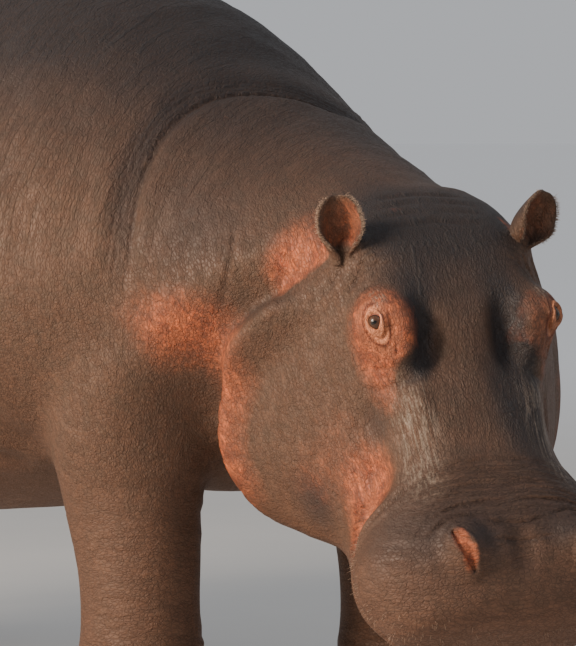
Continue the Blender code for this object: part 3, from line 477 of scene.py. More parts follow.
# Creases, as points near the hide, half width and depth; the head's are in its frame, and all are mirrored.
HEAD_CREASES = [
    # Folds behind the nostril.
    ([(0.570, 0.195, -0.020), (0.540, 0.150, -0.012), (0.527, 0.110, -0.010),
      (0.522, 0.060, -0.010), (0.520, 0.000, -0.012)], 0.0050, 0.0036),
    ([(0.552, 0.185, -0.018), (0.526, 0.145, -0.012),
      (0.514, 0.105, -0.010), (0.509, 0.050, -0.010)], 0.0042, 0.0022),
    ([(0.530, 0.165, -0.018), (0.510, 0.135, -0.014),
      (0.499, 0.095, -0.012), (0.495, 0.040, -0.012)], 0.0042, 0.0018),
    ([(0.580, 0.172, -0.010), (0.553, 0.140, -0.005),
      (0.545, 0.110, -0.005), (0.556, 0.070, -0.010)], 0.0045, 0.0045),
    ([(0.600, 0.158, -0.005), (0.572, 0.135, 0.000),
      (0.563, 0.112, 0.000), (0.572, 0.088, 0.000)], 0.004, 0.003),
    ([(0.560, 0.060, -0.010), (0.568, 0.030, -0.012), (0.570, 0.000, -0.012)], 0.004, 0.0035),
    ([(0.600, 0.055, -0.010), (0.602, 0.000, -0.012)], 0.004, 0.003),
    # Where the upper lip swells beside the mouth corner.
    ([(0.450, 0.150, -0.060), (0.478, 0.190, -0.100),
      (0.500, 0.212, -0.150), (0.530, 0.235, -0.195)], 0.010, 0.010),
    # Round the turret.
    ([(0.095, 0.185, -0.030), (0.160, 0.208, -0.060), (0.215, 0.200, -0.090)], 0.007, 0.004),
    ([(0.262, 0.115, -0.035), (0.262, 0.150, -0.075), (0.240, 0.190, -0.105)], 0.008, 0.004),
    ([(0.238, 0.135, -0.030), (0.232, 0.160, -0.055), (0.220, 0.175, -0.070)], 0.005, 0.0025),
    ([(0.139, 0.192, -0.033), (0.158, 0.193, -0.044),
      (0.171, 0.189, -0.055), (0.184, 0.184, -0.061)], 0.0045, 0.0030),
    # Fanning out under the lids.
    ([(0.203, 0.166, -0.023), (0.216, 0.161, -0.035), (0.227, 0.161, -0.050)], 0.0035, 0.0024),
    ([(0.200, 0.173, -0.034), (0.218, 0.166, -0.046), (0.235, 0.160, -0.062)], 0.0035, 0.0020),
    ([(0.209, 0.159, -0.016), (0.221, 0.149, -0.014), (0.229, 0.143, -0.011)], 0.0035, 0.0020),
    # From the ear's foot toward the eye.
    ([(0.035, 0.150, -0.020), (0.065, 0.172, -0.035), (0.085, 0.200, -0.060)], 0.007, 0.005),
    ([(0.045, 0.130, -0.010), (0.080, 0.150, -0.015), (0.105, 0.180, -0.040)], 0.006, 0.004),
    ([(0.028, 0.175, -0.045), (0.048, 0.195, -0.065), (0.060, 0.220, -0.090)], 0.007, 0.005),
    # Down the cheek.
    ([(0.270, 0.190, -0.130), (0.330, 0.190, -0.170), (0.390, 0.190, -0.220)], 0.010, 0.005),
    ([(0.330, 0.215, -0.240), (0.390, 0.205, -0.260), (0.430, 0.200, -0.280)], 0.010, 0.006),
]
BODY_CREASES = [
    # Behind the elbow.
    ([(0.520, 0.380, 0.420), (0.450, 0.450, 0.500),
      (0.420, 0.500, 0.600), (0.430, 0.540, 0.740)], 0.036, 0.014),
    ([(0.500, 0.360, 0.360), (0.400, 0.410, 0.420), (0.330, 0.450, 0.500)], 0.030, 0.009),
    # Before the thigh.
    ([(-0.640, 0.420, 0.400), (-0.600, 0.480, 0.500),
      (-0.620, 0.540, 0.640), (-0.680, 0.560, 0.820)], 0.040, 0.016),
    ([(-0.560, 0.400, 0.390), (-0.500, 0.460, 0.480), (-0.480, 0.520, 0.600)], 0.032, 0.009),
    # Under the buttock, and beside the tail.
    ([(-1.300, 0.140, 0.700), (-1.290, 0.240, 0.620), (-1.230, 0.330, 0.560)], 0.034, 0.012),
    ([(-1.310, 0.110, 1.060), (-1.330, 0.130, 0.960), (-1.320, 0.140, 0.860)], 0.026, 0.012),
]
# Folds on the right side of the neck, which the turned head presses together.
NECK_CREASES = [
    ([(0.895, -0.275, 0.960), (0.908, -0.312, 0.890),
      (0.910, -0.327, 0.840), (0.892, -0.325, 0.770)], 0.0065, 0.0048),
    ([(0.850, -0.290, 0.980), (0.835, -0.345, 0.880), (0.830, -0.375, 0.800)], 0.0120, 0.0030),
    ([(0.790, -0.330, 0.960), (0.775, -0.370, 0.880), (0.770, -0.390, 0.790)], 0.0120, 0.0025),
]
# Short creases in a row: middle of the first and last, half of each, how many, half width, depth.
# They are at the mouth corner, over the snout, on the crown, under the lids and at the ear's foot.
HEAD_ROWS = [
    ((0.418, 0.188, -0.206), (0.490, 0.210, -0.240), (0.009, 0.000, 0.023), 7, 0.0038, 0.0060),
    ((0.440, 0.070, -0.030), (0.502, 0.075, -0.015), (0.008, 0.058, 0.000), 5, 0.006, 0.0028),
    ((-0.120, 0.050, -0.040), (-0.030, 0.050, 0.000), (0.010, 0.055, -0.006), 4, 0.008, 0.0028),
    ((0.222, 0.138, -0.010), (0.212, 0.172, -0.050), (0.020, 0.000, -0.008), 4, 0.0035, 0.0018),
    ((0.008, 0.138, -0.014), (0.062, 0.142, -0.020), (-0.012, -0.034, 0.012), 5, 0.0050, 0.0024),
]
# Rings round the legs: height, bearings of the ends from straight ahead in degrees, half width, depth.
LEG_CREASES = [
    (0.440, -80, 80, 0.020, 0.006), (0.395, -70, 75, 0.020, 0.006), (0.150, -120, 120, 0.012, 0.006),
    (0.175, -100, 110, 0.011, 0.004), (0.125, -150, 150, 0.012, 0.006), (0.098, -80, 80, 0.010, 0.003),
]
# The raised edge of a crease: height, of its depth, and place and reach, in half widths.
CREASE_LIP = (0.35, 1.7, 1.1)
CREASE_TAPER = 0.6  # below one, a crease is blunter at its ends than a sine's arch
CREASE_DARK_WIDE = 1.1  # width of its painted shade, of its own
CREASE_RELAXED = 0.05  # least painted shade where the hide is evened out after it is pressed
LEG_CREASE_POINTS = 9
# How the creases of a row differ: radians of their sway from one to the next, how far it bows them, their
# half length and how far it moves their first and last ends, and their depth and how far it deepens them.
ROW_SWAY = 2.4
ROW_BOW = 0.25
ROW_ENDS = (0.85, 0.25, 0.3)
ROW_DEPTH = (0.8, 0.3)
FINE_EDGES = (0.0070, 0.0042)  # edges longer than these are halved along fine creases, one after the other
FINE_CREASE = 1.4  # a crease is fine for such an edge when it is narrower than this times the edge
DARK_STEEPNESS = 1.1  # of depth to half width, in the creases with the most painted shade

# The line that bristles are laid out along: through the trunk's first stations, then through points of
# the head's frame at these x and this z, to the muzzle's end.
SPINE_STATIONS = 11
SPINE_IN_HEAD = (0.10, 0.30, 0.50, 0.72)
SPINE_DROP = -0.200
SPINE_END = 0.80
SPINE_STEPS = 90


# ---------------------------------------------------------------- small tools
def unit(vector):
    return np.asarray(vector, float) / np.linalg.norm(vector)


def units(rows):
    return rows / np.linalg.norm(rows, axis=-1, keepdims=True)


def ramp(value, low, high):
    """Smooth step from 0 at low to 1 at high."""
    t = np.clip((value - low) / (high - low), 0, 1)
    return t * t * (3 - 2 * t)


def bump(distance):
    """One at distance 0, falling smoothly to nothing at 1."""
    return np.clip(1 - distance**2, 0, None) ** 2


def band(value, measures):
    """A soft band, from its strength, its middle and its reach to either side."""
    strength, middle, reach = measures
    return strength * bump((value - middle) / reach)


def rising(value, measures):
    """A smooth step, from its strength and the values where it starts and is whole."""
    strength, low, high = measures
    return strength * ramp(value, low, high)


def through(keys, rows, at):
    """Values of a smooth curve through the rows, which stand at the keys, read at each place in at."""
    keys = np.asarray(keys, float)
    rows = np.asarray(rows, float)
    slopes = np.gradient(rows, keys, axis=0)
    at = np.clip(np.asarray(at, float), keys[0], keys[-1])
    i = np.clip(np.searchsorted(keys, at, side="right") - 1, 0, len(keys) - 2)
    step = keys[i + 1] - keys[i]
    t = ((at - keys[i]) / step)[:, None]
    step = step[:, None]
    return (
        (1 + 2 * t) * (1 - t) ** 2 * rows[i]
        + t * (1 - t) ** 2 * step * slopes[i]
        + t * t * (3 - 2 * t) * rows[i + 1]
        + t * t * (t - 1) * step * slopes[i + 1]
    )


def rows_along(stations, count):
    """As many rows of a smooth run through a table's stations."""
    return through(np.arange(len(stations)), stations, np.linspace(0, len(stations) - 1, count))


def lengths_along(path):
    return np.concatenate([[0], np.cumsum(np.linalg.norm(np.diff(path, axis=0), axis=1))])


def turns_round(count):
    return np.linspace(0, 2 * math.pi, count, endpoint=False)


def section_axes(pitch, yaw):
    """Forward, left and up of a cross-section that noses down by pitch and turns left by yaw."""
    forward = np.array([math.cos(pitch) * math.cos(yaw), math.cos(pitch) * math.sin(yaw), -math.sin(pitch)])
    left = np.array([-math.sin(yaw), math.cos(yaw), 0.0])
    return forward, left, np.cross(forward, left)


def frame_of_head():
    forward, left, up = (Vector(a) for a in section_axes(HEAD_PITCH, HEAD_YAW))
    turn = Matrix((forward, left, up)).transposed()
    return Matrix.Translation(POLL) @ turn.to_4x4() @ Matrix.Rotation(HEAD_ROLL, 4, "X")


def frame_shift():
    """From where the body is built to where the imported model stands."""
    low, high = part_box("eye_left")
    return (low + high) / 2 - HEAD @ Vector(EYE_PLACE)


def aim(place, along, facing):
    """Matrix whose X runs along the first direction and Z as near the second as it can."""
    x = Vector(along).normalized()
    y = Vector(facing).cross(x).normalized()
    return Matrix.Translation(place) @ Matrix((x, y, x.cross(y))).transposed().to_4x4()


def moved(points, matrix):
    turn = np.array(matrix)
    return np.asarray(points, float) @ turn[:3, :3].T + turn[:3, 3]


def fold_course(points):
    """How far each point lies ahead of the neck's fold, and how whole the fold is there, from 0 to 1."""
    path = np.array(FOLD_PATH)[::-1]
    keys = np.degrees(np.arctan2(path[:, 1], path[:, 2] - FOLD_HUB))
    bearing = np.degrees(np.arctan2(points[:, 1], points[:, 2] - FOLD_HUB))
    course = through(keys, path[:, :1], bearing)[:, 0]
    return points[:, 0] - course, ramp(-np.abs(bearing), -FOLD_FADE[0], -FOLD_FADE[1])


def fold_over(points):
    """The points with their right half mirrored onto the left, and the signs that undo it."""
    signs = np.ones_like(points)
    signs[points[:, 1] < 0, 1] = -1.0
    return points * signs, signs


def path_distance(place, path):
    """Distance of each point from a polyline."""
    best = np.full(len(place), np.inf)
    for start, end in zip(path[:-1], path[1:]):
        start, span = np.array(start), np.subtract(end, start)
        along = np.clip((place - start) @ span / (span @ span), 0, 1)
        best = np.minimum(best, np.linalg.norm(place - start - along[:, None] * span, axis=1))
    return best


HEAD = frame_of_head()
SHIFT = frame_shift()


def in_head(points):
    return moved(points, HEAD.inverted())


def mesh_from(name, points, faces):
    mesh = bpy.data.meshes.new(name)
    mesh.from_pydata([tuple(p) for p in points], [], faces)
    mesh.update()
    return mesh


def mesh_of(bm, name):
    """The bmesh as a mesh; the bmesh itself is freed."""
    mesh = bpy.data.meshes.new(name)
    bm.to_mesh(mesh)
    bm.free()
    return mesh


def ball_mesh(name, around, rings):
    """A ball of radius 1, and its points."""
    bm = bmesh.new()
    bmesh.ops.create_uvsphere(bm, u_segments=around, v_segments=rings, radius=1.0)
    mesh = mesh_of(bm, name)
    return mesh, np.array([v.co for v in mesh.vertices])


def set_points(mesh, points):
    mesh.vertices.foreach_set("co", np.ascontiguousarray(points).ravel())
    mesh.update()


def keep(mesh, name, values):
    """Keep a number or a vector for each point of a mesh as an attribute."""
    kind, field = ("FLOAT", "value") if np.ndim(values) == 1 else ("FLOAT_VECTOR", "vector")
    made = mesh.attributes.new(name, kind, "POINT")
    made.data.foreach_set(field, np.asarray(values, np.float32).ravel())


def dress(mesh, material):
    mesh.materials.clear()
    mesh.materials.append(material)
    mesh.shade_smooth()


def add_object(name, data, material=None):
    made = bpy.data.objects.new(name, data)
    bpy.context.scene.collection.objects.link(made)
    if material is not None:
        dress(data, material)
    return made


def bake_modifiers(obj):
    graph = bpy.context.evaluated_depsgraph_get()
    mesh = bpy.data.meshes.new_from_object(obj.evaluated_get(graph), depsgraph=graph)
    obj.modifiers.clear()
    obj.data = mesh


# ---------------------------------------------------------------- the lofted masses
def loft_mesh(name, rings):
    """A closed mesh over rings of equally many points, its two ends closed by fans."""
    rings = np.asarray(rings, float)
    count, around = rings.shape[:2]
    bm = bmesh.new()
    rows = [[bm.verts.new(p) for p in ring] for ring in rings]
    for i in range(count - 1):
        for k in range(around):
            n = (k + 1) % around
            bm.faces.new((rows[i][k], rows[i][n], rows[i + 1][n], rows[i + 1][k]))
    for row in (rows[0], rows[-1]):
        hub = bm.verts.new(sum((v.co for v in row), Vector()) / around)
        for k in range(around):
            bm.faces.new((row[k], row[(k + 1) % around], hub))
    bmesh.ops.recalc_face_normals(bm, faces=bm.faces)
    return mesh_of(bm, name)


def body_mass():
    angles = turns_round(BODY_AROUND)
    power = 2 / np.where(np.sin(angles) > 0, BACK_SQUARE, BELLY_SQUARE)
    across = np.sign(np.cos(angles)) * np.abs(np.cos(angles)) ** power
    upward = np.sign(np.sin(angles)) * np.abs(np.sin(angles)) ** power
    rings = []
    for x, y, z, pitch, yaw, width, rise, drop in rows_along(TRUNK_STATIONS, BODY_RINGS):
        _, left, up = section_axes(math.radians(pitch), math.radians(yaw))
        height = np.where(upward > 0, rise, drop) * upward
        rings.append(np.array([x, y, z]) + np.outer(width * across, left) + np.outer(height, up))
    return loft_mesh("body_mass", rings)


def head_outline(row):
    """One closed cross-section of the head from a station's row, as (y, z) points."""
    _, crown, y1, z1, y2, z2, y3, z3, y4, z4, keel = row
    half = [(0, crown), (y1, z1), (y2, z2), (y3, z3), (y4, z4), (0, keel)]
    other = [(-y, z) for y, z in half[-2:0:-1]]
    ring = np.array(half + other, float)
    ring = np.concatenate([ring[-3:], ring, ring[:4]])
    spans = np.sqrt(np.linalg.norm(np.diff(ring, axis=0), axis=1))
    keys = np.concatenate([[0], np.cumsum(spans)])
    at = np.linspace(keys[3], keys[-4], HEAD_AROUND, endpoint=False)
    return through(keys, ring, at)


def head_mass():
    table = np.array(HEAD_STATIONS)
    xs = np.linspace(table[0, 0], table[-1, 0], HEAD_RINGS)
    rows = through(table[:, 0], table, xs)
    rings = [np.insert(head_outline(row), 0, row[0], axis=1) for row in rows]
    last = rings[-1].copy()
    middle = np.array([last[0, 0], 0, MUZZLE_MIDDLE])
    for turn in np.linspace(0, math.pi / 2, CAP_RINGS + 1)[1:]:
        ring = middle + (last - middle) * max(math.cos(turn) ** MUZZLE_BLUNT, MUZZLE_LEAST)
        ring[:, 0] = last[0, 0] + MUZZLE_DEPTH * math.sin(turn)
        rings.append(ring)
    mesh = loft_mesh("head_mass", rings)
    mesh.transform(HEAD)
    return mesh


def leg_mass(name):
    stations, x0, y0, turn = LEGS[name]
    side = 1 if y0 > 0 else -1
    angles = turns_round(LEG_AROUND)
    rings = []
    for x, y, z, length, width in rows_along(stations, LEG_RINGS):
        flare = np.clip(1 - z / ANKLE_HEIGHT, 0, 1) * math.radians(turn)
        along = length * np.cos(angles)
        across = width * np.sin(angles)
        px = x + along * np.cos(flare) - across * np.sin(flare)
        py = along * np.sin(flare) + across * np.cos(flare)
        rings.append(np.stack([x0 + px, y0 + side * y + py, np.full_like(px, z)], axis=1))
    return loft_mesh(name + "_mass", rings)


def tail_mass():
    rows = rows_along(TAIL_STATIONS, TAIL_RINGS)
    run = np.gradient(rows[:, :2], axis=0)
    angles = turns_round(TAIL_AROUND)
    rings = []
    for (x, z, half_width, half_depth), (dx, dz) in zip(rows, run):
        out = np.array([-dz, 0, dx]) / math.hypot(dx, dz)
        across = np.outer(half_width * np.cos(angles), Y)
        deep = np.outer(half_depth * np.sin(angles), out)
        rings.append(np.array([x, 0, z]) + across + deep)
    return loft_mesh("tail_mass", rings)


def toe_rim(name, bearing):
    """The foot's rim at a bearing, on the floor, and the outward direction there."""
    stations, x0, y0, turn = LEGS[name]
    x, _, _, length, width = stations[-1]
    angle = math.radians(bearing)
    along, across = length * math.cos(angle), width * math.sin(angle)
    swing = math.radians(turn)
    out = np.array([math.cos(angle + swing), math.sin(angle + swing), 0.0])
    rim = np.array([
        x0 + x + along * math.cos(swing) - across * math.sin(swing),
        y0 + along * math.sin(swing) + across * math.cos(swing),
        0.0,
    ])
    return rim, out


def leg_rim(name, height, bearing):
    """A point on a leg's side at a height, at a bearing in degrees from straight ahead."""
    stations, x0, y0, _ = LEGS[name]
    table = np.array(stations)[::-1]
    x, y, _, length, width = through(table[:, 2], table, [height])[0]
    angle = math.radians(bearing)
    side = 1 if y0 > 0 else -1
    return np.array([x0 + x + length * math.cos(angle), y0 + side * y + width * math.sin(angle), height])


def ear_half_width(t):
    """Half the width of the ear's outline, t from 0 at the root to 1 at the tip."""
    if t < 0.5:
        return EAR_HALF_WIDTH * (EAR_FOOT[0] + EAR_FOOT[1] * ramp(t, -0.1, 0.5))
    return EAR_HALF_WIDTH * math.sqrt(max(1 - (2 * t - 1) ** EAR_BLUNT, 0.0))


def ear_curl(t):
    """How far the ear's sheet curls to either side at t, its radius there, and how far it leans forward."""
    along = max(t, 0)
    wrap = math.radians(EAR_WRAP[0] + EAR_WRAP[1] * (1 - along) ** EAR_WRAP_FALL)
    radius = ear_half_width(t) / math.sin(min(wrap, math.pi / 2))
    return wrap, radius, EAR_LEAN * (along**2 - 1)


def ear_rim(t, side):
    """A point on the ear's free edge, in the ear's frame."""
    wrap, radius, lean = ear_curl(t)
    return Vector((t * EAR_LENGTH, side * radius * math.sin(wrap), radius - radius * math.cos(wrap) + lean))


def ear_frame(name):
    return HEAD @ aim(*EARS[name])


def ear_mesh():
    """A cupped ear with a rounded rim, in its own frame: X from root to tip, Z the way the cup opens."""
    middle = np.empty((EAR_ROWS, EAR_COLUMNS, 3))
    wall = np.empty((EAR_ROWS, EAR_COLUMNS))
    across = np.linspace(-1, 1, EAR_COLUMNS)
    thin, more, less = EAR_WALL
    for i, t in enumerate(np.linspace(EAR_ROOT, EAR_TIP, EAR_ROWS)):
        wrap, radius, lean = ear_curl(t)
        turns = across * wrap
        ridges = EAR_RIDGE * np.cos(across * 3 * math.pi) * ramp(t, *EAR_RIDGE_RISE)
        ridges *= 1 - ramp(t, *EAR_RIDGE_FADE)
        reach = radius - ridges
        height = radius - reach * np.cos(turns) + lean
        middle[i] = np.stack([np.full(EAR_COLUMNS, t * EAR_LENGTH), reach * np.sin(turns), height], axis=1)
        rim = np.clip((1 - np.abs(across)) * EAR_RIM[0], 0, 1) * ramp(1.0 - t, 0.0, EAR_RIM[1])
        wall[i] = thin + (more - less * t) * np.sqrt(rim)
    down, over = np.gradient(middle, axis=0), np.gradient(middle, axis=1)
    normal = units(np.cross(down, over))
    sheets = [middle + normal * wall[:, :, None], middle - normal * wall[:, :, None]]
    points = np.concatenate([sheet.reshape(-1, 3) for sheet in sheets])
    size = EAR_ROWS * EAR_COLUMNS
    faces = []
    for i in range(EAR_ROWS - 1):
        for k in range(EAR_COLUMNS - 1):
            a = i * EAR_COLUMNS + k
            b, c, d = a + 1, a + EAR_COLUMNS + 1, a + EAR_COLUMNS
            faces += [(a, b, c, d), (size + a, size + d, size + c, size + b)]
    last_row, last_column = EAR_ROWS - 1, EAR_COLUMNS - 1
    edge = [(0, k) for k in range(EAR_COLUMNS)] + [(i, last_column) for i in range(1, EAR_ROWS)]
    edge += [(last_row, k) for k in range(last_column - 1, -1, -1)]
    edge += [(i, 0) for i in range(last_row - 1, 0, -1)]
    ring = [i * EAR_COLUMNS + k for i, k in edge]
    for a, b in zip(ring, ring[1:] + ring[:1]):
        faces.append((b, a, size + a, size + b))
    mesh = mesh_from("ear", points, faces)
    bm = bmesh.new()
    bm.from_mesh(mesh)
    bmesh.ops.recalc_face_normals(bm, faces=bm.faces)
    bm.to_mesh(mesh)
    bm.free()
    return mesh


# ---------------------------------------------------------------- shaping the hide
class Hide:
    """The hide's mesh while it is shaped, with the painted shade of its creases at each point."""

    def __init__(self, mesh):
        self.mesh = mesh

    def points(self):
        points = np.empty(len(self.mesh.vertices) * 3)
        self.mesh.vertices.foreach_get("co", points)
        return points.reshape(-1, 3)

    def place(self, points):
        set_points(self.mesh, points)

    def folded(self):
        """The points in the head's frame, with the right half mirrored onto the left, and their signs."""
        return fold_over(in_head(self.points()))

    def unfold(self, half, signs):
        self.place(moved(half * signs, HEAD))

    def normals(self):
        normals = np.empty(len(self.mesh.vertices) * 3)
        self.mesh.vertices.foreach_get("normal", normals)
        return normals.reshape(-1, 3)

    def edges(self):
        edges = np.empty(len(self.mesh.edges) * 2, int)
        self.mesh.edges.foreach_get("vertices", edges)
        return edges.reshape(-1, 2).T

    def averager(self):
        """A function that gives the mean of a value over the neighbours of each point."""
        a, b = self.edges()
        size = len(self.mesh.vertices)
        count = np.maximum(np.bincount(a, minlength=size) + np.bincount(b, minlength=size), 1)
        return lambda values: (np.bincount(a, values[b], size) + np.bincount(b, values[a], size)) / count

    def relax(self, rounds, weight):
        """Draw each point toward the mean of its neighbours, by its weight."""
        mean = self.averager()
        points = self.points()
        for _ in range(rounds):
            means = np.stack([mean(points[:, axis]) for axis in range(3)], axis=1)
            points += weight[:, None] * (means - points)
        self.place(points)

    def refine(self, chosen, rounds=3):
        """Halve the mesh where points are chosen, and round off the new points there."""
        bm = bmesh.new()
        bm.from_mesh(self.mesh)
        bm.verts.ensure_lookup_table()
        edges = [edge for edge in bm.edges if chosen[edge.verts[0].index] and chosen[edge.verts[1].index]]
        bmesh.ops.subdivide_edges(bm, edges=edges, cuts=1, use_grid_fill=True)
        old = len(chosen)
        bm.to_mesh(self.mesh)
        bm.free()
        weight = np.zeros(len(self.mesh.vertices))
        weight[:old][chosen] = 0.5
        weight[old:] = 0.5
        self.relax(rounds, weight)

    def push(self, points, strokes):
        """Push points near each stroke's centre by its vector."""
        for centre, radii, vector in strokes:
            amount = bump(np.linalg.norm((points - centre) / radii, axis=1))
            points += amount[:, None] * np.asarray(vector)

    def smooth_masses(self, grain):
        """Smooth the joints of the masses, hardly at all on the feet, the head and the tail."""
        points = self.points()
        ways = (
            points[:, 2] / FOOT_SPARED - 1,
            (HEAD_SPARED - in_head(points)[:, 0]) / HEAD_BLEND,
            (points[:, 0] - TAIL_SPARED) / TAIL_BLEND,
        )
        weight = np.full(len(points), SMOOTHING)
        for way, least in zip(ways, LEAST_SMOOTHED):
            weight *= np.clip(way, least, 1)
        self.relax(round(SMOOTHING_ROUNDS * (SMOOTHING_GRAIN / grain) ** 2), weight)

    def sculpt_head(self):
        half, signs = self.folded()
        self.push(half, HEAD_STROKES)
        wide, deep = MOUTH_GROOVE
        depth = deep * bump(path_distance(half, MOUTH_LINE) / wide) - jowl_step(half)
        self.unfold(half, signs)
        self.place(moved(half * signs, HEAD) - depth[:, None] * self.normals())

    def sculpt_face(self):
        half, signs = self.folded()
        self.push(half, FACE_STROKES)
        self.unfold(half, signs)

    def sculpt_body(self):
        half, signs = fold_over(self.points())
        self.push(half, BODY_STROKES)
        self.place(half * signs)

    def sculpt_fold(self):
        points = self.points()
        ahead, whole = fold_course(points)
        dip = np.where(ahead < 0, bump(ahead / FOLD_SLOPES[0]), bump(ahead / FOLD_SLOPES[1]))
        self.place(points - (FOLD_DEPTH * dip * whole)[:, None] * self.normals())

    def sculpt_toes(self):
        points = self.points()
        clefts = [(one + two) / 2 for one, two in zip(TOE_BEARINGS[:-1], TOE_BEARINGS[1:])]
        for name in LEGS:
            for bearings, (height, radii, reach) in ((TOE_BEARINGS, TOE_STROKE), (clefts, CLEFT_STROKE)):
                for bearing in bearings:
                    rim, out = toe_rim(name, bearing)
                    self.push(points, [(rim + height * Z, radii, reach * out)])
        self.place(points)

    def wrinkle(self):
        """Long low wrinkles round the body, which fade out on the head and feet."""
        points = self.points()
        weight = ramp(-in_head(points)[:, 0], *RIPPLES_IN[0]) * ramp(points[:, 2], *RIPPLES_IN[1])
        lift = np.zeros(len(points))
        for (along, across), high in BODY_RIPPLES:
            scale = np.array([1 / along, 1 / across, 1 / across])
            for i in np.nonzero(weight > 0)[0]:
                lift[i] += high * (1 - 2 * abs(noise.noise(Vector(points[i] * scale))))
        self.place(points + (lift * weight)[:, None] * self.normals())

    def mark(self):
        """Keep on the mesh where the hide is flushed, dark, painted with shade or light, creased, rubbed and
        how it lies.
        """
        points, normals = self.points(), self.normals()
        at_head = in_head(points)
        folded, sides = fold_over(at_head)
        on_left = sides[:, 1] > 0
        height, upward = points[:, 2], normals[:, 2]
        lid, ring = lid_ring(folded)
        off, down = beside_jowl(folded)
        from_fold, fold = fold_course(points)
        skull = ramp(folded[:, 0], *SKULL_STARTS) * ramp(height, *SKULL_ABOVE)
        snout = ramp(folded[:, 0], *SNOUT_STARTS) * ramp(folded[:, 0], *SNOUT_ENDS)
        starts, whole, fades, ends = JOWL_FLUSH_ENDS
        edge = band(off, JOWL_FLUSH) * ramp(down, starts, whole) * ramp(-down, -ends, -fades)
        behind = patches(folded, BEHIND_JOWL) * ramp(-off, -JOWL_EDGE, JOWL_EDGE)
        face = patches(folded, HEAD_FLUSH) + behind + edge * skull
        shade = band(off, JOWL_DARK) * ramp(down, *JOWL_DARK_STARTS) * skull * (folded[:, 1] > JOWL_DARK_SIDE)
        shade += band(from_fold, FOLD_DARK) * fold
        dark = patches(folded, HEAD_DARK) + patches(at_head, ONE_SIDE_DARK) + patches(points, BODY_DARK)
        # Painted shade: less flush on the left of the head, which is turned from the light.
        face *= np.where(on_left, 1 - FAR_FLUSH, 1.0)
        rims = np.maximum(lid * ramp(ring, *LID_RIM), lid * band(ring, LID_GLOW))
        marks = {
            "flush": np.clip(face + patches(points, BODY_FLUSH) + self.inside_ears(), 0, 1),
            # painted shade: the lids' pale rims dulled on the left of the head
            "lid": np.where(on_left, 1 - FAR_LID, 1.0) * rims,
            "gutter": lid * band(ring, LID_GUTTER),
            # darker hide, and painted shade: on top, in hollows, under and behind the jowl, along the fold
            # and on the left of the snout
            "dark_hide_and_shade": np.clip(rising(upward, TOP_DARK) + dark + shade, 0, 1),
            "belly": np.clip(rising(height, LOW_BROWN) + rising(upward, UNDER_BROWN), 0, 1),
            # painted shade in the creases
            "crease": self.dark,
            "rubbed": patches(folded, SCUFFS),
            "limb": ramp(height, *LIMB_ENDS),
            "skull": skull,
            "snout": snout * ramp(folded[:, 2], *SNOUT_ABOVE),
            "skull_place": at_head,
        }
        for name, values in marks.items():
            keep(self.mesh, name, values)

    def inside_ears(self):
        """How flushed each point is inside the ears, most on the wall next to the head."""
        points, normals = self.points(), self.normals()
        inside = np.zeros(len(points))
        for name, (root, _, _) in EARS.items():
            matrix = ear_frame(name)
            at = moved(points, matrix.inverted())
            near_ear = (np.linalg.norm(at, axis=1) < EAR_NEAR[0]) & (np.abs(at[:, 2]) < EAR_NEAR[1])
            wide = [ear_half_width(t) for t in np.clip(at[near_ear, 0] / EAR_LENGTH, 0, 1)]
            near_ear[near_ear] = np.abs(at[near_ear, 1]) < np.array(wide)
            facing = ramp(normals @ np.array(matrix.col[2])[:3], *EAR_FLUSH_FACING)
            along = ramp(at[:, 0], *EAR_FLUSH_STARTS) * ramp(at[:, 0], *EAR_FLUSH_ENDS)
            wall = ramp(at[:, 1] * math.copysign(1, root[1]), *EAR_FLUSH_WALL)
            inside += (EAR_FLUSH[0] + (EAR_FLUSH[1] - EAR_FLUSH[0]) * wall) * near_ear * facing * along
        return inside

    def soften(self, spots, rounds):
        """Round off the hide at spots of the head."""
        half, _ = self.folded()
        weight = sum(bump(np.linalg.norm(half - centre, axis=1) / reach) for centre, reach in spots)
        self.relax(rounds, SOFTENING * np.clip(weight, 0, 1))

    def set_lids(self):
        """Close the lids over the eyes, with an almond opening and the ring of folds round them."""
        half, signs = self.folded()
        out, ahead, across = eye_axes()
        self.push(half, [(EYE_PLACE, (EYE_SWELL_REACH,) * 3, EYE_SWELL * out)])
        near_eye = np.linalg.norm(half - EYE_PLACE, axis=1) < 3 * EYE_RADIUS
        away = half[near_eye] - EYE_PLACE
        reach = np.linalg.norm(away, axis=1)
        a, b = away @ across, away @ ahead
        spread = np.arccos(np.clip(away @ out / reach, -1, 1))
        ring = np.hypot(a / LID_BAND[0], (b - LID_BAND_AHEAD) / LID_BAND[1])
        folds = sum(band(ring, fold) for fold in LID_FOLDS)
        turn = np.arctan2(a, b - LID_BAND_AHEAD)
        folds += band(ring, LID_FAN) * np.cos(LID_FAN_COUNT * turn) * ramp(b, 0.0, LID_FAN_WHOLE)
        along = np.clip((b + OPENING_BEHIND) / OPENING_LENGTH, -1, 1)
        half_width = OPENING_WIDTH * (1 - along**2) ** OPENING_SHAPE[0] * (1 - OPENING_SHAPE[1] * along)
        inside = ramp(half_width - np.abs(a), *OPENING_RIM) * (spread < math.pi / 3)
        lid = EYE_RADIUS + LID_THICKNESS
        cover = 1 - ramp(spread, *LID_ROUNDED)
        target = reach + cover * (np.maximum(lid, np.minimum(reach, lid + LID_LOOSE)) - reach)
        target += folds * (1 - ramp(spread, *LID_FOLDS_END))
        target += inside * (EYE_RADIUS - OPENING_DEPTH - target)
        half[near_eye] = EYE_PLACE + away * (target / reach)[:, None]
        self.unfold(half, signs)

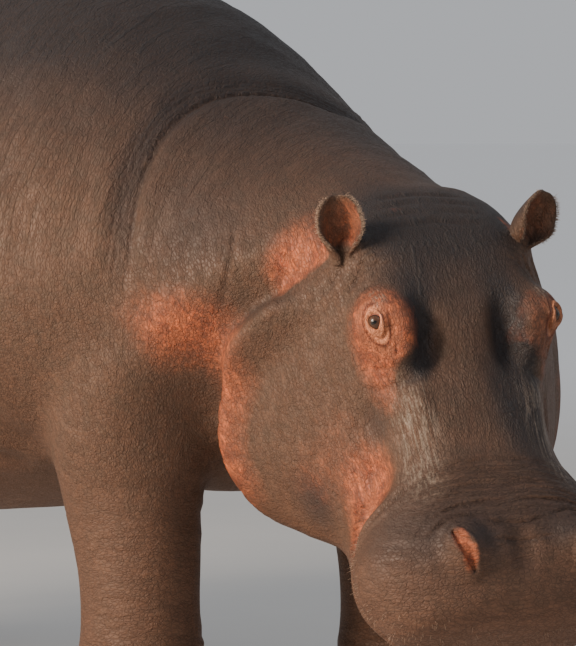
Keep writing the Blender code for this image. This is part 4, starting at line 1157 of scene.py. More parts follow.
    def set_nostrils(self):
        half, signs = self.folded()
        start, end = np.array(NOSTRIL)
        along = np.clip((half[:, :2] - start) @ (end - start) / ((end - start) @ (end - start)), 0, 1)
        off = np.linalg.norm(half[:, :2] - start - along[:, None] * (end - start), axis=1)
        wide = NOSTRIL_WIDTH * (1 - NOSTRIL_TAPER * (2 * along - 1) ** 2)
        floor = 1 - ramp(off, wide + NOSTRIL_WALL[0], wide + NOSTRIL_WALL[1])
        lift = band(off - wide, NOSTRIL_RIM) - NOSTRIL_DEPTH * floor
        half[:, 2] += lift * (half[:, 2] > SNOUT_TOP)
        self.unfold(half, signs)

    def crease_all(self, paths):
        """Press creases into the hide, each tapering to its ends, and keep how much painted shade each puts
        into the hide.
        """
        corners = [face.vertices[:] for face in self.mesh.polygons]
        tree = BVHTree.FromPolygons([vertex.co for vertex in self.mesh.vertices], corners)
        lines = [(on_surface(tree, path, wide / 2), wide, deep) for path, wide, deep in paths]
        for edge in FINE_EDGES:
            points = self.points()
            fine = np.zeros(len(points), bool)
            for line, wide, _ in lines:
                if wide < FINE_CREASE * edge:
                    close, gap = beside(points, line, 4 * wide)
                    fine[close] |= gap.min(axis=1) < 2 * wide
            a, b = self.edges()
            long = np.linalg.norm(points[a] - points[b], axis=1) > edge
            fine &= np.bincount(a, long, len(points)) + np.bincount(b, long, len(points)) > 0
            self.refine(fine)
        points, normals = self.points(), self.normals()
        lift = np.zeros(len(points))
        self.dark = np.zeros(len(points))
        for line, wide, deep in lines:
            close, gap = beside(points, line, 3 * wide)
            if not len(close):
                continue
            at = gap.argmin(axis=1)
            off = gap[np.arange(len(close)), at] / wide
            taper = np.sin(math.pi * (at + 0.5) / len(line)) ** CREASE_TAPER
            lift[close] += deep * taper * (band(off, CREASE_LIP) - bump(off))
            dark = min(deep / wide / DARK_STEEPNESS, 1) ** 2
            self.dark[close] = np.maximum(self.dark[close], taper * bump(off / CREASE_DARK_WIDE) * dark)
        self.place(points + lift[:, None] * normals)
        self.relax(2, 0.5 * (self.dark > CREASE_RELAXED))
        mean = self.averager()
        for _ in range(2):
            self.dark = (self.dark + mean(self.dark)) / 2

    def cut_soles(self):
        """Cut the feet flat at the floor, and close their soles."""
        bm = bmesh.new()
        bm.from_mesh(self.mesh)
        down = (0, 0, -1)
        everything = bm.verts[:] + bm.edges[:] + bm.faces[:]
        cut = bmesh.ops.bisect_plane(bm, geom=everything, plane_co=(0, 0, 0), plane_no=down, clear_outer=True)
        rim = [part for part in cut["geom_cut"] if isinstance(part, bmesh.types.BMEdge)]
        bmesh.ops.triangle_fill(bm, edges=rim, use_beauty=True, normal=down)
        bm.to_mesh(self.mesh)
        bm.free()


def eye_axes():
    """Outward, ahead and across the lids, of the left eye in the head's frame."""
    out = unit(EYE_AXIS)
    ahead = unit(np.array([1.0, 0, 0]) - out[0] * out)
    return out, ahead, np.cross(out, ahead)


def lid_ring(half):
    """Whether each folded-over point is near an eye and before it, and its place across the lids' ring."""
    out, ahead, across = eye_axes()
    away = half - EYE_PLACE
    close = (np.linalg.norm(away, axis=1) < LID_BAND_REACH * EYE_RADIUS) * (away @ out > 0)
    return close, np.hypot(away @ across / LID_BAND[0], (away @ ahead - LID_BAND_AHEAD) / LID_BAND[1])


def beside(points, line, reach):
    """Which points stand within reach of a line, box to box, and how far each is from each of its points."""
    low, high = line.min(axis=0) - reach, line.max(axis=0) + reach
    close = np.nonzero(np.all((points > low) & (points < high), axis=1))[0]
    return close, np.linalg.norm(points[close][:, None] - line[None], axis=2)


def on_surface(tree, path, step):
    """Points a step apart along a smooth curve through the path, each moved to the nearest hide."""
    path = np.array(path, float)
    keys = lengths_along(path)
    curve = through(keys, path, np.linspace(0, keys[-1], max(int(keys[-1] / step), 4)))
    return np.array([tree.find_nearest(Vector(point))[0] for point in curve])


def beside_jowl(half):
    """How far each folded-over point lies ahead of the jowl's edge, and how far down it, from 0 to 1."""
    line = rows_along(JOWL_LINE, JOWL_STEPS)
    gap = half[:, None, ::2] - line[None]
    at = np.hypot(gap[..., 0], gap[..., 1]).argmin(axis=1)
    run = units(np.gradient(line, axis=0))
    toward = np.stack([-run[:, 1], run[:, 0]], axis=1)
    return np.einsum("ij,ij->i", gap[np.arange(len(half)), at], toward[at]), at / (len(line) - 1)


def jowl_step(half):
    """How far the hide stands out at each folded-over point, at the step from jowl to neck."""
    off, down = beside_jowl(half)
    sunk = -JOWL_SUNK * (1 - ramp(-off, 0, JOWL_EASE))
    rise = (JOWL_SUNK + JOWL_PROUD) * ramp(off, 0, JOWL_RISE) - JOWL_SUNK
    proud = rise - JOWL_PROUD * ramp(off, JOWL_RISE, JOWL_EASE)
    ends = ramp(down, 0.0, JOWL_ENDS[0]) * ramp(1 - down, 0.0, JOWL_ENDS[1])
    return np.where(off < 0, sunk, proud) * ends * ramp(half[:, 1], *JOWL_SIDE)


def lie_of(points):
    """How far along the body each point lies, and its place across and above the spine there, in metres."""
    stations = np.array(TRUNK_STATIONS)[:SPINE_STATIONS, :3]
    skull = moved([(x, 0, SPINE_DROP) for x in SPINE_IN_HEAD], HEAD)
    knots = np.concatenate([stations, skull])
    keys = lengths_along(knots)
    along = np.linspace(0, keys[-1], SPINE_STEPS)
    spine = through(keys, knots, along)
    run = units(np.gradient(spine, axis=0))
    left = units(np.cross(Z, run))
    at = ((points[:, None] - spine[None]) ** 2).sum(axis=2).argmin(axis=1)
    gap = points - spine[at]
    parts = [np.einsum("ij,ij->i", gap, axes[at]) for axes in (run, left, np.cross(run, left))]
    return np.stack([along[at] + parts[0], parts[1], parts[2]], axis=1)


def lie_length():
    return lie_of(moved([(SPINE_END, 0, SPINE_DROP)], HEAD))[0, 0]


def bed(chance, count, points, normals, where, lean):
    """Roots of bristles at random points of the hide near the given places, and the ways they stand."""
    folded, _ = fold_over(in_head(points))
    inside = np.zeros(len(points), bool)
    for part, centre, radii in where:
        at = folded if part == "head" else points
        inside |= np.linalg.norm((at - centre) / radii, axis=1) < 1
    picked = chance.choice(np.nonzero(inside)[0], count)
    outward = normals[picked]
    shift = chance.normal(0, BRISTLE_SCATTER, (count, 3))
    shift -= np.einsum("ij,ij->i", shift, outward)[:, None] * outward
    ways = outward + chance.normal(0, BRISTLE_TILT, (count, 3)) - lean * Z
    roots = points[picked] + shift - BRISTLE_SUNK * outward
    return roots, units(ways)


def ear_fringe(chance, count):
    """Roots of bristles all along the ears' rims, and the ways they stand."""
    roots, ways = [], []
    run, tipward, outward = FRINGE_WAY
    for name in EARS:
        matrix = ear_frame(name)
        for side in (1, -1):
            for t in chance.uniform(*FRINGE_ENDS, count // 4):
                ahead = ear_rim(min(t + FRINGE_STEP, EAR_TIP), side) - ear_rim(t, side)
                out = Vector((run * side * ahead.y + tipward, side, outward)).normalized()
                out = (out + Vector(chance.normal(0, FRINGE_TILT, 3))).normalized()
                root = ear_rim(t, side) + Vector(chance.normal(0, FRINGE_SPREAD, 3))
                roots.append(np.array(matrix @ root))
                ways.append(np.array(matrix.to_3x3() @ out))
    return np.array(roots), np.array(ways)


def patches(points, spots):
    """How far each point lies inside any of the patches, given as centre, radii and strength."""
    total = 0
    for centre, radii, strength in spots:
        total += rising(1 - np.linalg.norm((points - centre) / radii, axis=1), (strength, 0, 1))
    return np.clip(total, 0, 1)


def crease_row(first, last, half, count, wide, deep):
    """Short creases side by side, each swayed, bowed and deepened a little differently from the last."""
    half = np.array(half)
    reach, back, ahead = ROW_ENDS
    row = []
    for i, middle in enumerate(np.linspace(first, last, count)):
        sway = math.sin(ROW_SWAY * i + 1)
        bow = middle + ROW_BOW * wide * sway * np.array([1, 0, 0])
        path = [middle - (reach + back * sway) * half, bow, middle + (reach - ahead * sway) * half]
        row.append((path, wide, deep * (ROW_DEPTH[0] + ROW_DEPTH[1] * sway)))
    return row


def all_creases():
    """Every crease in the body's frame."""
    on_head = HEAD_CREASES + [crease for row in HEAD_ROWS for crease in crease_row(*row)]
    paths = list(NECK_CREASES)
    for ahead, wide, deep in FOLD_LINES:
        paths.append(([np.add(spot, (ahead, 0, 0)) for spot in FOLD_PATH], wide, deep))
    for side in (1, -1):
        flip = np.array([1, side, 1])
        paths += [(np.array(path) * flip, wide, deep) for path, wide, deep in BODY_CREASES]
        paths += [(moved(np.array(path) * flip, HEAD), wide, deep) for path, wide, deep in on_head]
    for name in LEGS:
        for height, start, end, wide, deep in LEG_CREASES:
            ring = [leg_rim(name, height, bearing) for bearing in np.linspace(start, end, LEG_CREASE_POINTS)]
            paths.append((ring, wide, deep))
    return paths


def rough_hide(grain):
    """All the flesh as one remeshed skin."""
    bm = bmesh.new()
    for mesh in [body_mass(), head_mass(), tail_mass()] + [leg_mass(name) for name in LEGS]:
        bm.from_mesh(mesh)
        bpy.data.meshes.remove(mesh)
    skin = add_object("hide", mesh_of(bm, "hide"))
    union = skin.modifiers.new("union", "REMESH")
    union.mode = "VOXEL"
    union.voxel_size = grain
    bake_modifiers(skin)
    return skin


def join_ears(skin):
    for name in EARS:
        mesh = ear_mesh()
        mesh.transform(ear_frame(name))
        ear = add_object(name, mesh)
        union = skin.modifiers.new("ear", "BOOLEAN")
        union.operation = "UNION"
        union.solver = "EXACT"
        union.object = ear
        bake_modifiers(skin)
        bpy.data.objects.remove(ear)


def fine_area(hide):
    """Whether each point is on the head, the feet or the neck's fold, which are meshed finer."""
    half, _ = hide.folded()
    least_x, greatest_y, least_z = HEAD_FINE
    head = (half[:, 0] > least_x) & (half[:, 1] < greatest_y) & (half[:, 2] > least_z)
    foot = hide.points()[:, 2] < FOOT_FINE
    ahead, whole = fold_course(hide.points())
    behind, reach = FOLD_FINE
    fold = (np.abs(ahead + behind) < reach) & (whole > 0)
    return head | fold | foot


def refine_spots(hide, spots):
    half, _ = hide.folded()
    hide.refine(np.any([np.linalg.norm(half - centre, axis=1) < reach for centre, reach in spots], axis=0))


def shaped_hide(grain):
    skin = rough_hide(grain)
    hide = Hide(skin.data)
    hide.smooth_masses(grain)
    hide.refine(fine_area(hide))
    hide.sculpt_head()
    hide.sculpt_body()
    hide.sculpt_fold()
    hide.sculpt_toes()
    hide.wrinkle()
    hide.cut_soles()
    hide.sculpt_face()
    hide.soften(SOFTENED, SOFTENED_ROUNDS)
    join_ears(skin)
    hide = Hide(skin.data)
    refine_spots(hide, FINE_SPOTS)
    hide.soften(EAR_ROOTS, EAR_ROOT_ROUNDS)
    refine_spots(hide, FINER_SPOTS)
    refine_spots(hide, [(EYE_PLACE + LIDS_FINEST[0] * eye_axes()[0], LIDS_FINEST[1])])
    hide.set_lids()
    hide.set_nostrils()
    hide.crease_all(all_creases())
    hide.mark()
    return skin


# ---------------------------------------------------------------- finishes
class Value:
    """Something that varies over a surface: a socket whose arithmetic adds Math nodes."""

    def __init__(self, finish, socket):
        self.finish = finish
        self.socket = socket

    def math(self, operation, *inputs):
        return self.finish.node("ShaderNodeMath", {"operation": operation}, dict(enumerate(inputs)))

    def __add__(self, other):
        return self.math("ADD", self, other)

    def __sub__(self, other):
        return self.math("SUBTRACT", self, other)

    def __rsub__(self, other):
        return self.math("SUBTRACT", other, self)

    def __mul__(self, other):
        return self.math("MULTIPLY", self, other)

    __radd__ = __add__
    __rmul__ = __mul__

    def between(self, low, high):
        """Smooth step from 0 at low to 1 at high."""
        inputs = {"Value": self, "From Min": low, "From Max": high}
        return self.finish.node("ShaderNodeMapRange", {"interpolation_type": "SMOOTHSTEP"}, inputs)

    def absolute(self):
        return self.math("ABSOLUTE", self)

    def kept(self):
        """Held between 0 and 1."""
        return self.finish.node("ShaderNodeClamp", {}, {"Value": self})


class Finish:
    """A material under construction."""

    def __init__(self, name, roughness, **constants):
        self.material = bpy.data.materials.new(name)
        self.material.use_nodes = True
        self.tree = self.material.node_tree
        self.shader = self.tree.nodes["Principled BSDF"]
        self.shader.inputs["Roughness"].default_value = roughness
        for socket, value in constants.items():
            self.shader.inputs[socket.replace("_", " ")].default_value = value

    def node(self, kind, settings, inputs, output=0):
        made = self.tree.nodes.new(kind)
        for setting, value in settings.items():
            setattr(made, setting, value)
        for socket, value in inputs.items():
            if isinstance(value, Value):
                self.tree.links.new(value.socket, made.inputs[socket])
            else:
                made.inputs[socket].default_value = value
        return Value(self, made.outputs[output])

    def attribute(self, name, output="Fac"):
        return self.node("ShaderNodeAttribute", {"attribute_name": name}, {}, output)

    def place(self):
        return self.node("ShaderNodeTexCoord", {}, {}, "Object")

    def vector(self, operation, *inputs, output=0):
        return self.node("ShaderNodeVectorMath", {"operation": operation}, dict(enumerate(inputs)), output)

    def scaled(self, vector, scale):
        return self.vector("MULTIPLY", vector, scale)

    def added(self, one, other):
        return self.vector("ADD", one, other)

    def length(self, vector):
        return self.vector("LENGTH", vector, output=1)

    def noise(self, vector, scale, detail=3.0, roughness=0.5, distortion=0.0, output=0):
        inputs = {"Vector": vector, "Scale": scale, "Detail": detail}
        inputs |= {"Roughness": roughness, "Distortion": distortion}
        return self.node("ShaderNodeTexNoise", {}, inputs, output)

    def cells(self, vector):
        """Distance to the nearest edge between cells about one unit wide."""
        inputs = {"Vector": vector, "Scale": 1.0}
        return self.node("ShaderNodeTexVoronoi", {"feature": "DISTANCE_TO_EDGE"}, inputs)

    def mix(self, amount, one, other):
        return self.node("ShaderNodeMix", {"data_type": "RGBA"}, {0: amount, 6: one, 7: other}, 2)

    def mix_values(self, amount, one, other):
        return self.node("ShaderNodeMix", {"data_type": "FLOAT"}, {0: amount, 2: one, 3: other})

    def surface(self, colour, roughness, height):
        """Wire the shader: colour, roughness, and relief from a height in metres."""
        relief = self.node("ShaderNodeBump", {}, {"Height": height, "Distance": 1.0, "Strength": 1.0})
        for socket, value in (("Base Color", colour), ("Roughness", roughness), ("Normal", relief)):
            self.tree.links.new(value.socket, self.shader.inputs[socket])
        return self.material


def rgb(colour):
    return (*colour, 1.0)


# ---------------------------------------------------------------- stage
CAMERA_AZIMUTH = math.radians(42.0)
CAMERA_RISE = math.radians(2.5)
CAMERA_DISTANCE = 12.0
VIEW_HEIGHT = 1.1333  # of the view at the animal
SENSOR = 24.0
CLIP_END = 200.0
FLOOR_RADIUS = 60.0
FLOOR_AROUND = 96
FLOOR_PALES = (4.0, 14.0)  # distances over which the floor turns to its palest tone
AIM_ACROSS = -0.270  # from the poll to the middle of the view
AIM_UP = -0.154
# name, bearing to the right of the camera and rise in degrees, distance, size, watts, colour
LAMPS = [
    ("key", -58, 24, 6.0, 2.2, 740, (1.0, 0.84, 0.68)),
    ("fill", 40, 50, 7.0, 4.0, 50, (0.86, 0.92, 1.0)),
]


def view_axes():
    """Right, up and toward the camera."""
    a, e = CAMERA_AZIMUTH, CAMERA_RISE
    right = Vector((math.cos(a), math.sin(a), 0))
    toward = Vector((math.sin(a) * math.cos(e), -math.cos(a) * math.cos(e), math.sin(e)))
    return right, toward.cross(right), toward


def place_camera():
    right, up, toward = view_axes()
    target = Vector(POLL) + SHIFT + right * AIM_ACROSS + up * AIM_UP
    data = bpy.data.cameras.new("camera")
    data.sensor_fit = "VERTICAL"
    data.sensor_height = SENSOR
    data.lens = SENSOR * CAMERA_DISTANCE / VIEW_HEIGHT
    data.clip_end = CLIP_END
    camera = add_object("camera", data)
    camera.location = target + toward * CAMERA_DISTANCE
    camera.rotation_mode = "QUATERNION"
    camera.rotation_quaternion = toward.to_track_quat("Z", "Y")
    bpy.context.scene.camera = camera
    return target


def place_lamp(target, name, bearing, rise, distance, size, watts, colour):
    """A soft square lamp aimed at the target."""
    right, _, toward = view_axes()
    level = Vector((toward.x, toward.y, 0)).normalized()
    turn, lift = math.radians(bearing), math.radians(rise)
    way = (level * math.cos(turn) + right * math.sin(turn)) * math.cos(lift) + Vector((0, 0, math.sin(lift)))
    data = bpy.data.lights.new(name, "AREA")
    data.size = size
    data.energy = watts
    data.color = colour
    lamp = add_object(name, data)
    lamp.location = target + way * distance
    lamp.rotation_mode = "QUATERNION"
    lamp.rotation_quaternion = way.to_track_quat("Z", "Y")


# ---------------------------------------------------------------- settings
def colour_of(name, description, default):
    return FloatVectorProperty(
        name=name, description=description, default=default, subtype="COLOR", min=0, max=1
    )


class HideSettings(bpy.types.PropertyGroup):
    grain: FloatProperty(
        name="Grain", description="Mesh size of the body's hide",
        default=0.0205, min=0.010, max=0.04, unit="LENGTH",
    )
    # Also the colour of painted shade: on top, in the hollows by the turrets and under the eyes, under and
    # behind the jowl, along the neck's fold and on the left of the snout.
    back: colour_of("Back", "Dark slate of the back and crown", (0.021, 0.018, 0.019))
    flank: colour_of("Flank", "Warm grey-brown of the sides", (0.126, 0.063, 0.036))
    flush: colour_of("Flush", "Where the hide is thin and bare", (0.660, 0.165, 0.060))
    flush_deep: colour_of("Deep flush", "Darker mottling in the flush", (0.330, 0.070, 0.028))
    belly: colour_of("Belly", "Red-brown of the belly and legs", (0.158, 0.072, 0.042))
    mottle: colour_of("Mottle", "Dull olive mottling", (0.084, 0.056, 0.036))
    lid: colour_of("Lids", "Rims of the lids", (0.880, 0.340, 0.170))
    # Its dark red is partly painted shade in that fold.
    gutter: colour_of("Gutter", "Fold round the lids", (0.130, 0.024, 0.008))
    rubbed: colour_of("Rubbed", "Pale streaks where the hide is rubbed", (0.330, 0.260, 0.200))
    # Colour of the painted shade in the creases, the crazing's cracks and the wrinkles' valleys.
    crease: colour_of("Crease", "Deep inside the creases", (0.030, 0.016, 0.011))


class StageSettings(bpy.types.PropertyGroup):
    floor: colour_of("Floor", "Pale floor", (0.66, 0.64, 0.61))
    floor_far: colour_of("Far floor", "The floor where it meets the backdrop", (0.96, 0.96, 0.96))
    floor_shade: colour_of("Floor shade", "Its darker tone", (0.60, 0.585, 0.56))
    sky: colour_of("Sky", "Even light from all round", (0.80, 0.82, 0.86))
    sky_strength: FloatProperty(name="Sky strength", description="Its strength", default=0.60, min=0)


# Cells of the hide's crazing, and waves of its wrinkles, to the metre along X, Y and Z: on the trunk, on
# the head and on the snout, both in the head's frame, and on the legs.
CRAZING = ((215.0, 70.0, 70.0), (105.0, 190.0, 190.0), (230.0, 60.0, 90.0), (100.0, 100.0, 180.0))
RIPPLES = ((120.0, 13.0, 13.0), (30.0, 85.0, 85.0), (110.0, 9.0, 20.0), (22.0, 22.0, 80.0))
# What bends their lines: waves to the metre, detail, and how far, in cells.
SWAY = (9.0, 3.0, 2.2)
JITTER = (130.0, 2.0, 0.55)


def hide_finish(settings):
    """Damp hide: crazed and wrinkled across the body, with painted shade in its cracks, wrinkles, creases and
    hollows; dark on the back, partly painted shade; flushed where it is thin.
    """
    finish = Finish("hide", 0.5, Specular_IOR_Level=0.32)
    place = finish.place()
    skull_place = finish.attribute("skull_place", "Vector")
    limb, skull, snout = (finish.attribute(name) for name in ("limb", "skull", "snout"))
    bends = []
    for scale, detail, amount in (SWAY, JITTER):
        centred = finish.added(finish.noise(place, scale, detail, 0.6, output="Color"), (-0.5, -0.5, -0.5))
        bends.append(finish.scaled(centred, (amount, amount, amount)))

    def laid(scales, texture):
        """One texture laid in four ways: on the trunk, the head, the snout and the legs."""
        ways = []
        for where, scale in zip((place, skull_place, skull_place, place), scales):
            at = finish.scaled(where, scale)
            for bend in bends:
                at = finish.added(at, bend)
            ways.append(texture(at))
        trunk, head, nose, leg = ways
        head = finish.mix_values(snout, head, nose)
        return finish.mix_values(limb, finish.mix_values(skull, trunk, head), leg)

    crazing = laid(CRAZING, finish.cells)
    ripple = laid(RIPPLES, lambda at: finish.noise(at, 1.0, 5.0, 0.62))
    crack = 1 - crazing.between(0.0, 0.20)
    valley = (1 - ((ripple - 0.5) * 2).absolute() * 3.2).kept()
    pores = finish.noise(place, 520.0, 2.0, 0.6)
    swell = finish.noise(place, 16.0, 3.0, 0.55)
    blotch = finish.noise(place, 5.0, 4.0, 0.6)
    mottle = finish.noise(place, 38.0, 5.0, 0.66)
    streak = finish.noise(finish.scaled(skull_place, (7.0, 190.0, 190.0)), 1.0, 4.0, 0.6)
    crease = finish.attribute("crease")
    rubbed = (finish.attribute("rubbed") * streak.between(0.42, 0.66)).kept()
    flush = (finish.attribute("flush") * 1.15 + 0.5 * (mottle - 0.5) + 0.5 * (blotch - 0.5) - 0.12).kept()
    warm = finish.mix(mottle.between(0.34, 0.62), rgb(settings.flush_deep), rgb(settings.flush))

    dark_hide_and_shade = (finish.attribute("dark_hide_and_shade") + 0.45 * (blotch - 0.5)).between(0.05, 0.95)
    colour = finish.mix(mottle.between(0.38, 0.66) * 0.5, rgb(settings.flank), rgb(settings.mottle))
    belly = (finish.attribute("belly") + 0.4 * (blotch - 0.5)).kept()
    colour = finish.mix(belly * 0.8, colour, rgb(settings.belly))
    # Darker hide and painted shade, in the back's slate.
    colour = finish.mix(dark_hide_and_shade, colour, rgb(settings.back))
    colour = finish.mix(flush * (0.92 - 0.45 * valley), colour, warm)
    colour = finish.mix(finish.attribute("lid") * 0.80, colour, rgb(settings.lid))
    colour = finish.mix(finish.attribute("gutter") * 0.95, colour, rgb(settings.gutter))
    colour = finish.mix(rubbed * 0.65, colour, rgb(settings.rubbed))
    # Painted shade in the crazing's cracks, the wrinkles' valleys, deeper on the snout, and the creases.
    depth = (crack * 0.24 + valley * (0.30 + 0.25 * snout) + crease * 0.75).kept()
    colour = finish.mix(depth, colour, rgb(settings.crease))

    height = ripple * (0.0046 + 0.0026 * snout) + swell * 0.0024 + pores * 0.00025
    height = height - crack * 0.00060 - valley * 0.0009 + streak * rubbed * 0.0010
    sheen = 0.42 + 0.22 * mottle + 0.12 * crack + 0.06 * pores
    return finish.surface(colour, sheen, height)


class HIPPO_OT_hide(bpy.types.Operator):
    """Make the one hide that covers trunk, neck, head, ears, tail and legs"""

    bl_idname = "hippo.hide"
    bl_label = "Hide"

    def execute(self, context):
        settings = context.scene.hippo_hide
        skin = shaped_hide(settings.grain)
        skin.data.transform(Matrix.Translation(SHIFT))
        dress(skin.data, hide_finish(settings))
        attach(skin, BODY)
        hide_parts(*FLESH)
        return {"FINISHED"}


class EyeSettings(bpy.types.PropertyGroup):
    iris: colour_of("Iris", "Dark brown of the iris", (0.050, 0.023, 0.013))
    iris_fibre: colour_of("Iris fibres", "Paler threads in the iris", (0.115, 0.052, 0.026))
    iris_edge: colour_of("Iris edge", "Darker edge of the iris", (0.010, 0.004, 0.002))
    pupil: colour_of("Pupil", "Pupil", (0.002, 0.002, 0.002))
    white: colour_of("White", "Brownish white of the eye", (0.240, 0.120, 0.085))
    vein: colour_of("Veins", "Veins in the white", (0.200, 0.030, 0.018))


def eyeball_mesh():
    """A ball with a bulging cornea, looking along +Z, which keeps where each point lies round its gaze."""
    mesh, points = ball_mesh("eyeball", EYE_AROUND, EYE_RINGS)
    keep(mesh, "gaze", points)
    spread = np.arccos(np.clip(points[:, 2], -1, 1))
    radius = EYE_RADIUS - EYE_EASE + CORNEA_RISE * bump(spread / CORNEA_SPREAD)
    set_points(mesh, points * radius[:, None])
    return mesh


def eye_finish(settings):
    """Wet ball: a dark pupil, fibred iris with a darker rim, and a veined brownish white."""
    finish = Finish("eye", 0.28, Coat_Weight=0.15, Coat_Roughness=0.26, Specular_IOR_Level=0.30)
    gaze = finish.attribute("gaze", "Vector")
    flat = finish.scaled(gaze, (1.0, 1.0, 0.0))
    off = finish.length(flat)
    pupil_off = finish.length(finish.scaled(flat, (1.7, 1.0, 0.0)))
    way = finish.vector("NORMALIZE", flat)
    fibres = finish.noise(finish.scaled(way, (14.0, 14.0, 1.0)), 1.0, 4.0, 0.7)
    veins = finish.noise(finish.scaled(gaze, (9.0, 9.0, 9.0)), 1.0, 5.0, 0.7, 1.2)
    fibred = fibres.between(0.40, 0.72) * off.between(0.20, 0.42)
    iris = finish.mix(fibred, rgb(settings.iris), rgb(settings.iris_fibre))
    iris = finish.mix(off.between(0.44, 0.54), iris, rgb(settings.iris_edge))
    iris = finish.mix(1 - pupil_off.between(0.20, 0.24), iris, rgb(settings.pupil))
    veined = 1 - ((veins - 0.5) * 2).absolute().between(0.0, 0.12)
    white = finish.mix(veined, rgb(settings.white), rgb(settings.vein))
    colour = finish.mix(off.between(0.53, 0.60), iris, white)
    return finish.surface(colour, 0.16 + 0.10 * veins, fibres * 0.00006)


class HIPPO_OT_eyes(bpy.types.Operator):
    """Make the two eyeballs"""

    bl_idname = "hippo.eyes"
    bl_label = "Eyes"

    def execute(self, context):
        material = eye_finish(context.scene.hippo_eyes)
        for name, side in (("eye_left", 1), ("eye_right", -1)):
            flip = np.array([1, side, 1])
            out, ahead, _ = eye_axes()
            mesh = eyeball_mesh()
            mesh.transform(Matrix.Translation(SHIFT) @ HEAD @ aim(EYE_PLACE * flip, ahead * flip, out * flip))
            ball = add_object("ball_of_" + name, mesh, material)
            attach(ball, BODY)
            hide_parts(name)
        return {"FINISHED"}


class NailSettings(bpy.types.PropertyGroup):
    horn: colour_of("Horn", "Grey-brown horn", (0.066, 0.047, 0.034))
    streak: colour_of("Streaks", "Darker lines down the horn", (0.026, 0.018, 0.013))
    scuff: colour_of("Scuffs", "Paler, scuffed horn", (0.140, 0.106, 0.078))


def nail_mesh():
    """A broad horn nail, X outward and Z up: domed, with growth ridges and a thicker, blunt lower edge."""
    mesh, ball = ball_mesh("nail", NAIL_AROUND, NAIL_ROWS)
    square = np.sign(ball) * np.abs(ball) ** np.where(ball[:, 2:] > 0, *NAIL_SQUARE)
    up = square[:, 2]
    thick = 1 - NAIL_THINNED * up + NAIL_RIDGE * np.cos(up * NAIL_RIDGES) * ramp(ball[:, 0], *NAIL_RIDGES_OUT)
    width = 1 - NAIL_NARROWED * ramp(up, -0.2, 1.0)
    lean = NAIL_LEAN * up
    set_points(mesh, np.stack([ball[:, 0] * thick - lean, square[:, 1] * width, up], axis=1) * NAIL_RADII)
    return mesh


def nail_finish(settings):
    """Horn: fine lines down it, growth bands across it, and paler scuffs."""
    finish = Finish("nail", 0.45, Specular_IOR_Level=0.4)
    place = finish.place()
    lines = finish.noise(finish.scaled(place, (320.0, 320.0, 30.0)), 1.0, 4.0, 0.6)
    bands = finish.noise(finish.scaled(place, (20.0, 20.0, 300.0)), 1.0, 3.0, 0.6)
    scuffs = finish.noise(place, 120.0, 4.0, 0.7)
    colour = finish.mix(lines.between(0.35, 0.68) * 0.8, rgb(settings.horn), rgb(settings.streak))
    colour = finish.mix(scuffs.between(0.55, 0.75) * 0.5, colour, rgb(settings.scuff))
    height = lines * 0.0006 + bands * 0.0008 + scuffs * 0.0003
    return finish.surface(colour, 0.38 + 0.30 * scuffs, height)


class HIPPO_OT_nails(bpy.types.Operator):
    """Make the four nails of each foot"""

    bl_idname = "hippo.nails"
    bl_label = "Nails"

    def execute(self, context):
        material = nail_finish(context.scene.hippo_nails)
        for leg in LEGS:
            for number, bearing in enumerate(TOE_BEARINGS, start=1):
                rim, out = toe_rim(leg, bearing)
                place = rim + NAIL_STAND * out + NAIL_HEIGHT * Z
                mesh = nail_mesh()
                mesh.transform(Matrix.Translation(SHIFT) @ aim(place, out, Z))
                nail = add_object(f"horn_{leg}_{number}", mesh, material)
                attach(nail, BODY)
                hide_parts(f"nail_{leg}_{number}")
        return {"FINISHED"}


class BristleSettings(bpy.types.PropertyGroup):
    pale: colour_of("Pale", "Pale tips of the bristles", (0.620, 0.430, 0.300))
    dark: colour_of("Dark", "Dark roots of the bristles", (0.070, 0.040, 0.028))
    seed: IntProperty(name="Seed", description="Seed of the bristles' places", default=7, min=0)


def bristle_finish(settings):
    """Stiff hair, dark at the root and pale at the tip."""
    finish = Finish("bristle", 0.5)
    shade = finish.noise(finish.place(), 160.0, 2.0)
    tip = finish.attribute("tip")
    colour = finish.mix((tip * (0.6 + 0.8 * shade)).kept(), rgb(settings.dark), rgb(settings.pale))
    return finish.surface(colour, 0.42 + 0.3 * shade, shade * 0.0001)


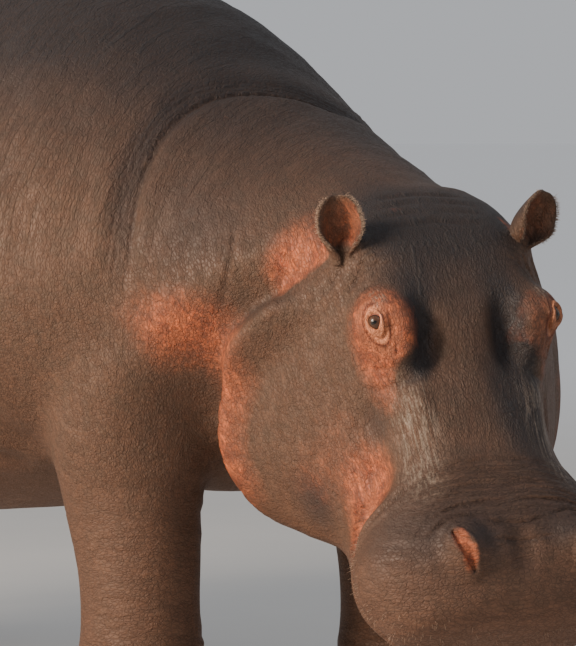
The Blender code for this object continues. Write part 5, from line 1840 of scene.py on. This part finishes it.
def bristles(name, roots, ways, lengths, thick, sag):
    """Bent, tapering, three-sided bristles in one mesh, each a small patch of the bake map at its root."""
    tips, points, faces = [], [], []
    for root, way, length in zip(roots, ways, lengths):
        side = unit(np.cross(way, BRISTLE_CROSS))
        other = np.cross(way, side)
        start = len(points)
        for t in BRISTLE_STEPS:
            centre = root + way * length * t - Z * sag * length * t * t
            reach = thick * (1 - t) ** BRISTLE_TAPER
            for k in range(3):
                turn = 2 * math.pi * k / 3
                points.append(centre + reach * (math.cos(turn) * side + math.sin(turn) * other))
                tips.append(t)
        points.append(root + way * length - Z * sag * length)
        tips.append(1.0)
        last = start + 3 * (len(BRISTLE_STEPS) - 1)
        faces.append((start + 2, start + 1, start))
        for ring in range(start, last, 3):
            for k in range(3):
                n = (k + 1) % 3
                faces.append((ring + k, ring + n, ring + n + 3, ring + k + 3))
        faces += [(last + k, last + (k + 1) % 3, len(points) - 1) for k in range(3)]
    mesh = mesh_from(name, points, faces)
    keep(mesh, "tip", tips)
    each = 3 * len(BRISTLE_STEPS) + 1
    lie = lie_of(np.array(roots))
    around = np.arctan2(lie[:, 1], lie[:, 2]) / (2 * math.pi) + 0.5
    within = 1 - 2 * BAKE_MARGIN
    centres = [BAKE_MARGIN + within * lie[:, 0] / lie_length(), BAKE_MARGIN + within * around]
    centres = np.stack(centres, axis=1)
    spot = [(BAKE_PATCH * t, BAKE_PATCH * (k % 3) / 2) for k, t in enumerate(tips[:each])]
    spot = np.array(spot) - BAKE_PATCH / 2
    corners = np.empty(len(mesh.loops), int)
    mesh.loops.foreach_get("vertex_index", corners)
    where = centres[corners // each] + spot[corners % each]
    mesh.uv_layers.new(name="OFBake").data.foreach_set("uv", where.astype(np.float32).ravel())
    return mesh


class HIPPO_OT_bristles(bpy.types.Operator):
    """Set bristles on the ears' rims, the muzzle, the chin and the tail's end"""

    bl_idname = "hippo.bristles"
    bl_label = "Bristles"

    def execute(self, context):
        settings = context.scene.hippo_bristles
        chance = np.random.default_rng(settings.seed)
        material = bristle_finish(settings)
        hide = Hide(bpy.data.objects["hide"].data)
        points, normals = hide.points() - np.array(SHIFT), hide.normals()
        for name, where, count, (short, long), thick, lean, sag in BRISTLE_BEDS:
            if name == "ears":
                roots, ways = ear_fringe(chance, count)
            else:
                roots, ways = bed(chance, count, points, normals, where, lean)
            lengths = chance.uniform(short, long, len(roots))
            mesh = bristles("bristles_" + name, roots, ways, lengths, thick, sag)
            mesh.transform(Matrix.Translation(SHIFT))
            piece = add_object("bristles_" + name, mesh, material)
            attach(piece, BODY)
        return {"FINISHED"}


def make_floor(settings):
    """A wide pale floor, faintly uneven in tone."""
    bm = bmesh.new()
    bmesh.ops.create_circle(bm, cap_ends=True, segments=FLOOR_AROUND, radius=FLOOR_RADIUS)
    mesh = mesh_of(bm, "floor")
    floor = add_object("floor", mesh)
    finish = Finish("floor", 0.8)
    place = finish.place()
    grain = finish.noise(place, 1.6, 4.0)
    fine = finish.noise(place, 90.0, 3.0)
    far = finish.length(place).between(*FLOOR_PALES)
    colour = finish.mix(grain, rgb(settings.floor), rgb(settings.floor_shade))
    colour = finish.mix(far, colour, rgb(settings.floor_far))
    mesh.materials.append(finish.surface(colour, 0.75 + 0.1 * fine, fine * 0.0003))


class HIPPO_OT_stage(bpy.types.Operator):
    """Set the floor, the lamps and the camera"""

    bl_idname = "hippo.stage"
    bl_label = "Stage"

    def execute(self, context):
        settings = context.scene.hippo_stage
        target = place_camera()
        make_floor(settings)
        world = bpy.data.worlds.new("studio")
        world.use_nodes = True
        background = world.node_tree.nodes["Background"].inputs
        background["Color"].default_value = rgb(settings.sky)
        background["Strength"].default_value = settings.sky_strength
        context.scene.world = world
        for lamp in LAMPS:
            place_lamp(target, *lamp)
        return {"FINISHED"}


class HIPPO_PT_panel(bpy.types.Panel):
    """The animal's sizes and colours, and its pieces"""

    bl_label = "Hippopotamus"
    bl_idname = "HIPPO_PT_panel"
    bl_space_type = "VIEW_3D"
    bl_region_type = "UI"
    bl_category = "Hippopotamus"

    def draw(self, context):
        for owner, kind in SETTINGS.items():
            for setting in kind.__annotations__:
                self.layout.prop(getattr(context.scene, owner), setting)
        for operator in OPERATORS:
            self.layout.operator(operator.bl_idname)


SETTINGS = {
    "hippo_hide": HideSettings,
    "hippo_eyes": EyeSettings,
    "hippo_nails": NailSettings,
    "hippo_bristles": BristleSettings,
    "hippo_stage": StageSettings,
}
OPERATORS = (HIPPO_OT_hide, HIPPO_OT_eyes, HIPPO_OT_nails, HIPPO_OT_bristles, HIPPO_OT_stage)


def register():
    for kind in (*SETTINGS.values(), *OPERATORS, HIPPO_PT_panel):
        bpy.utils.register_class(kind)
    for name, kind in SETTINGS.items():
        setattr(bpy.types.Scene, name, PointerProperty(type=kind))


def unregister():
    for name in SETTINGS:
        delattr(bpy.types.Scene, name)
    for kind in (HIPPO_PT_panel, *reversed(OPERATORS), *SETTINGS.values()):
        bpy.utils.unregister_class(kind)


def main():
    register()
    for operator in OPERATORS:
        group, name = operator.bl_idname.split(".")
        getattr(getattr(bpy.ops, group), name)()


if __name__ == "__main__":
    main()
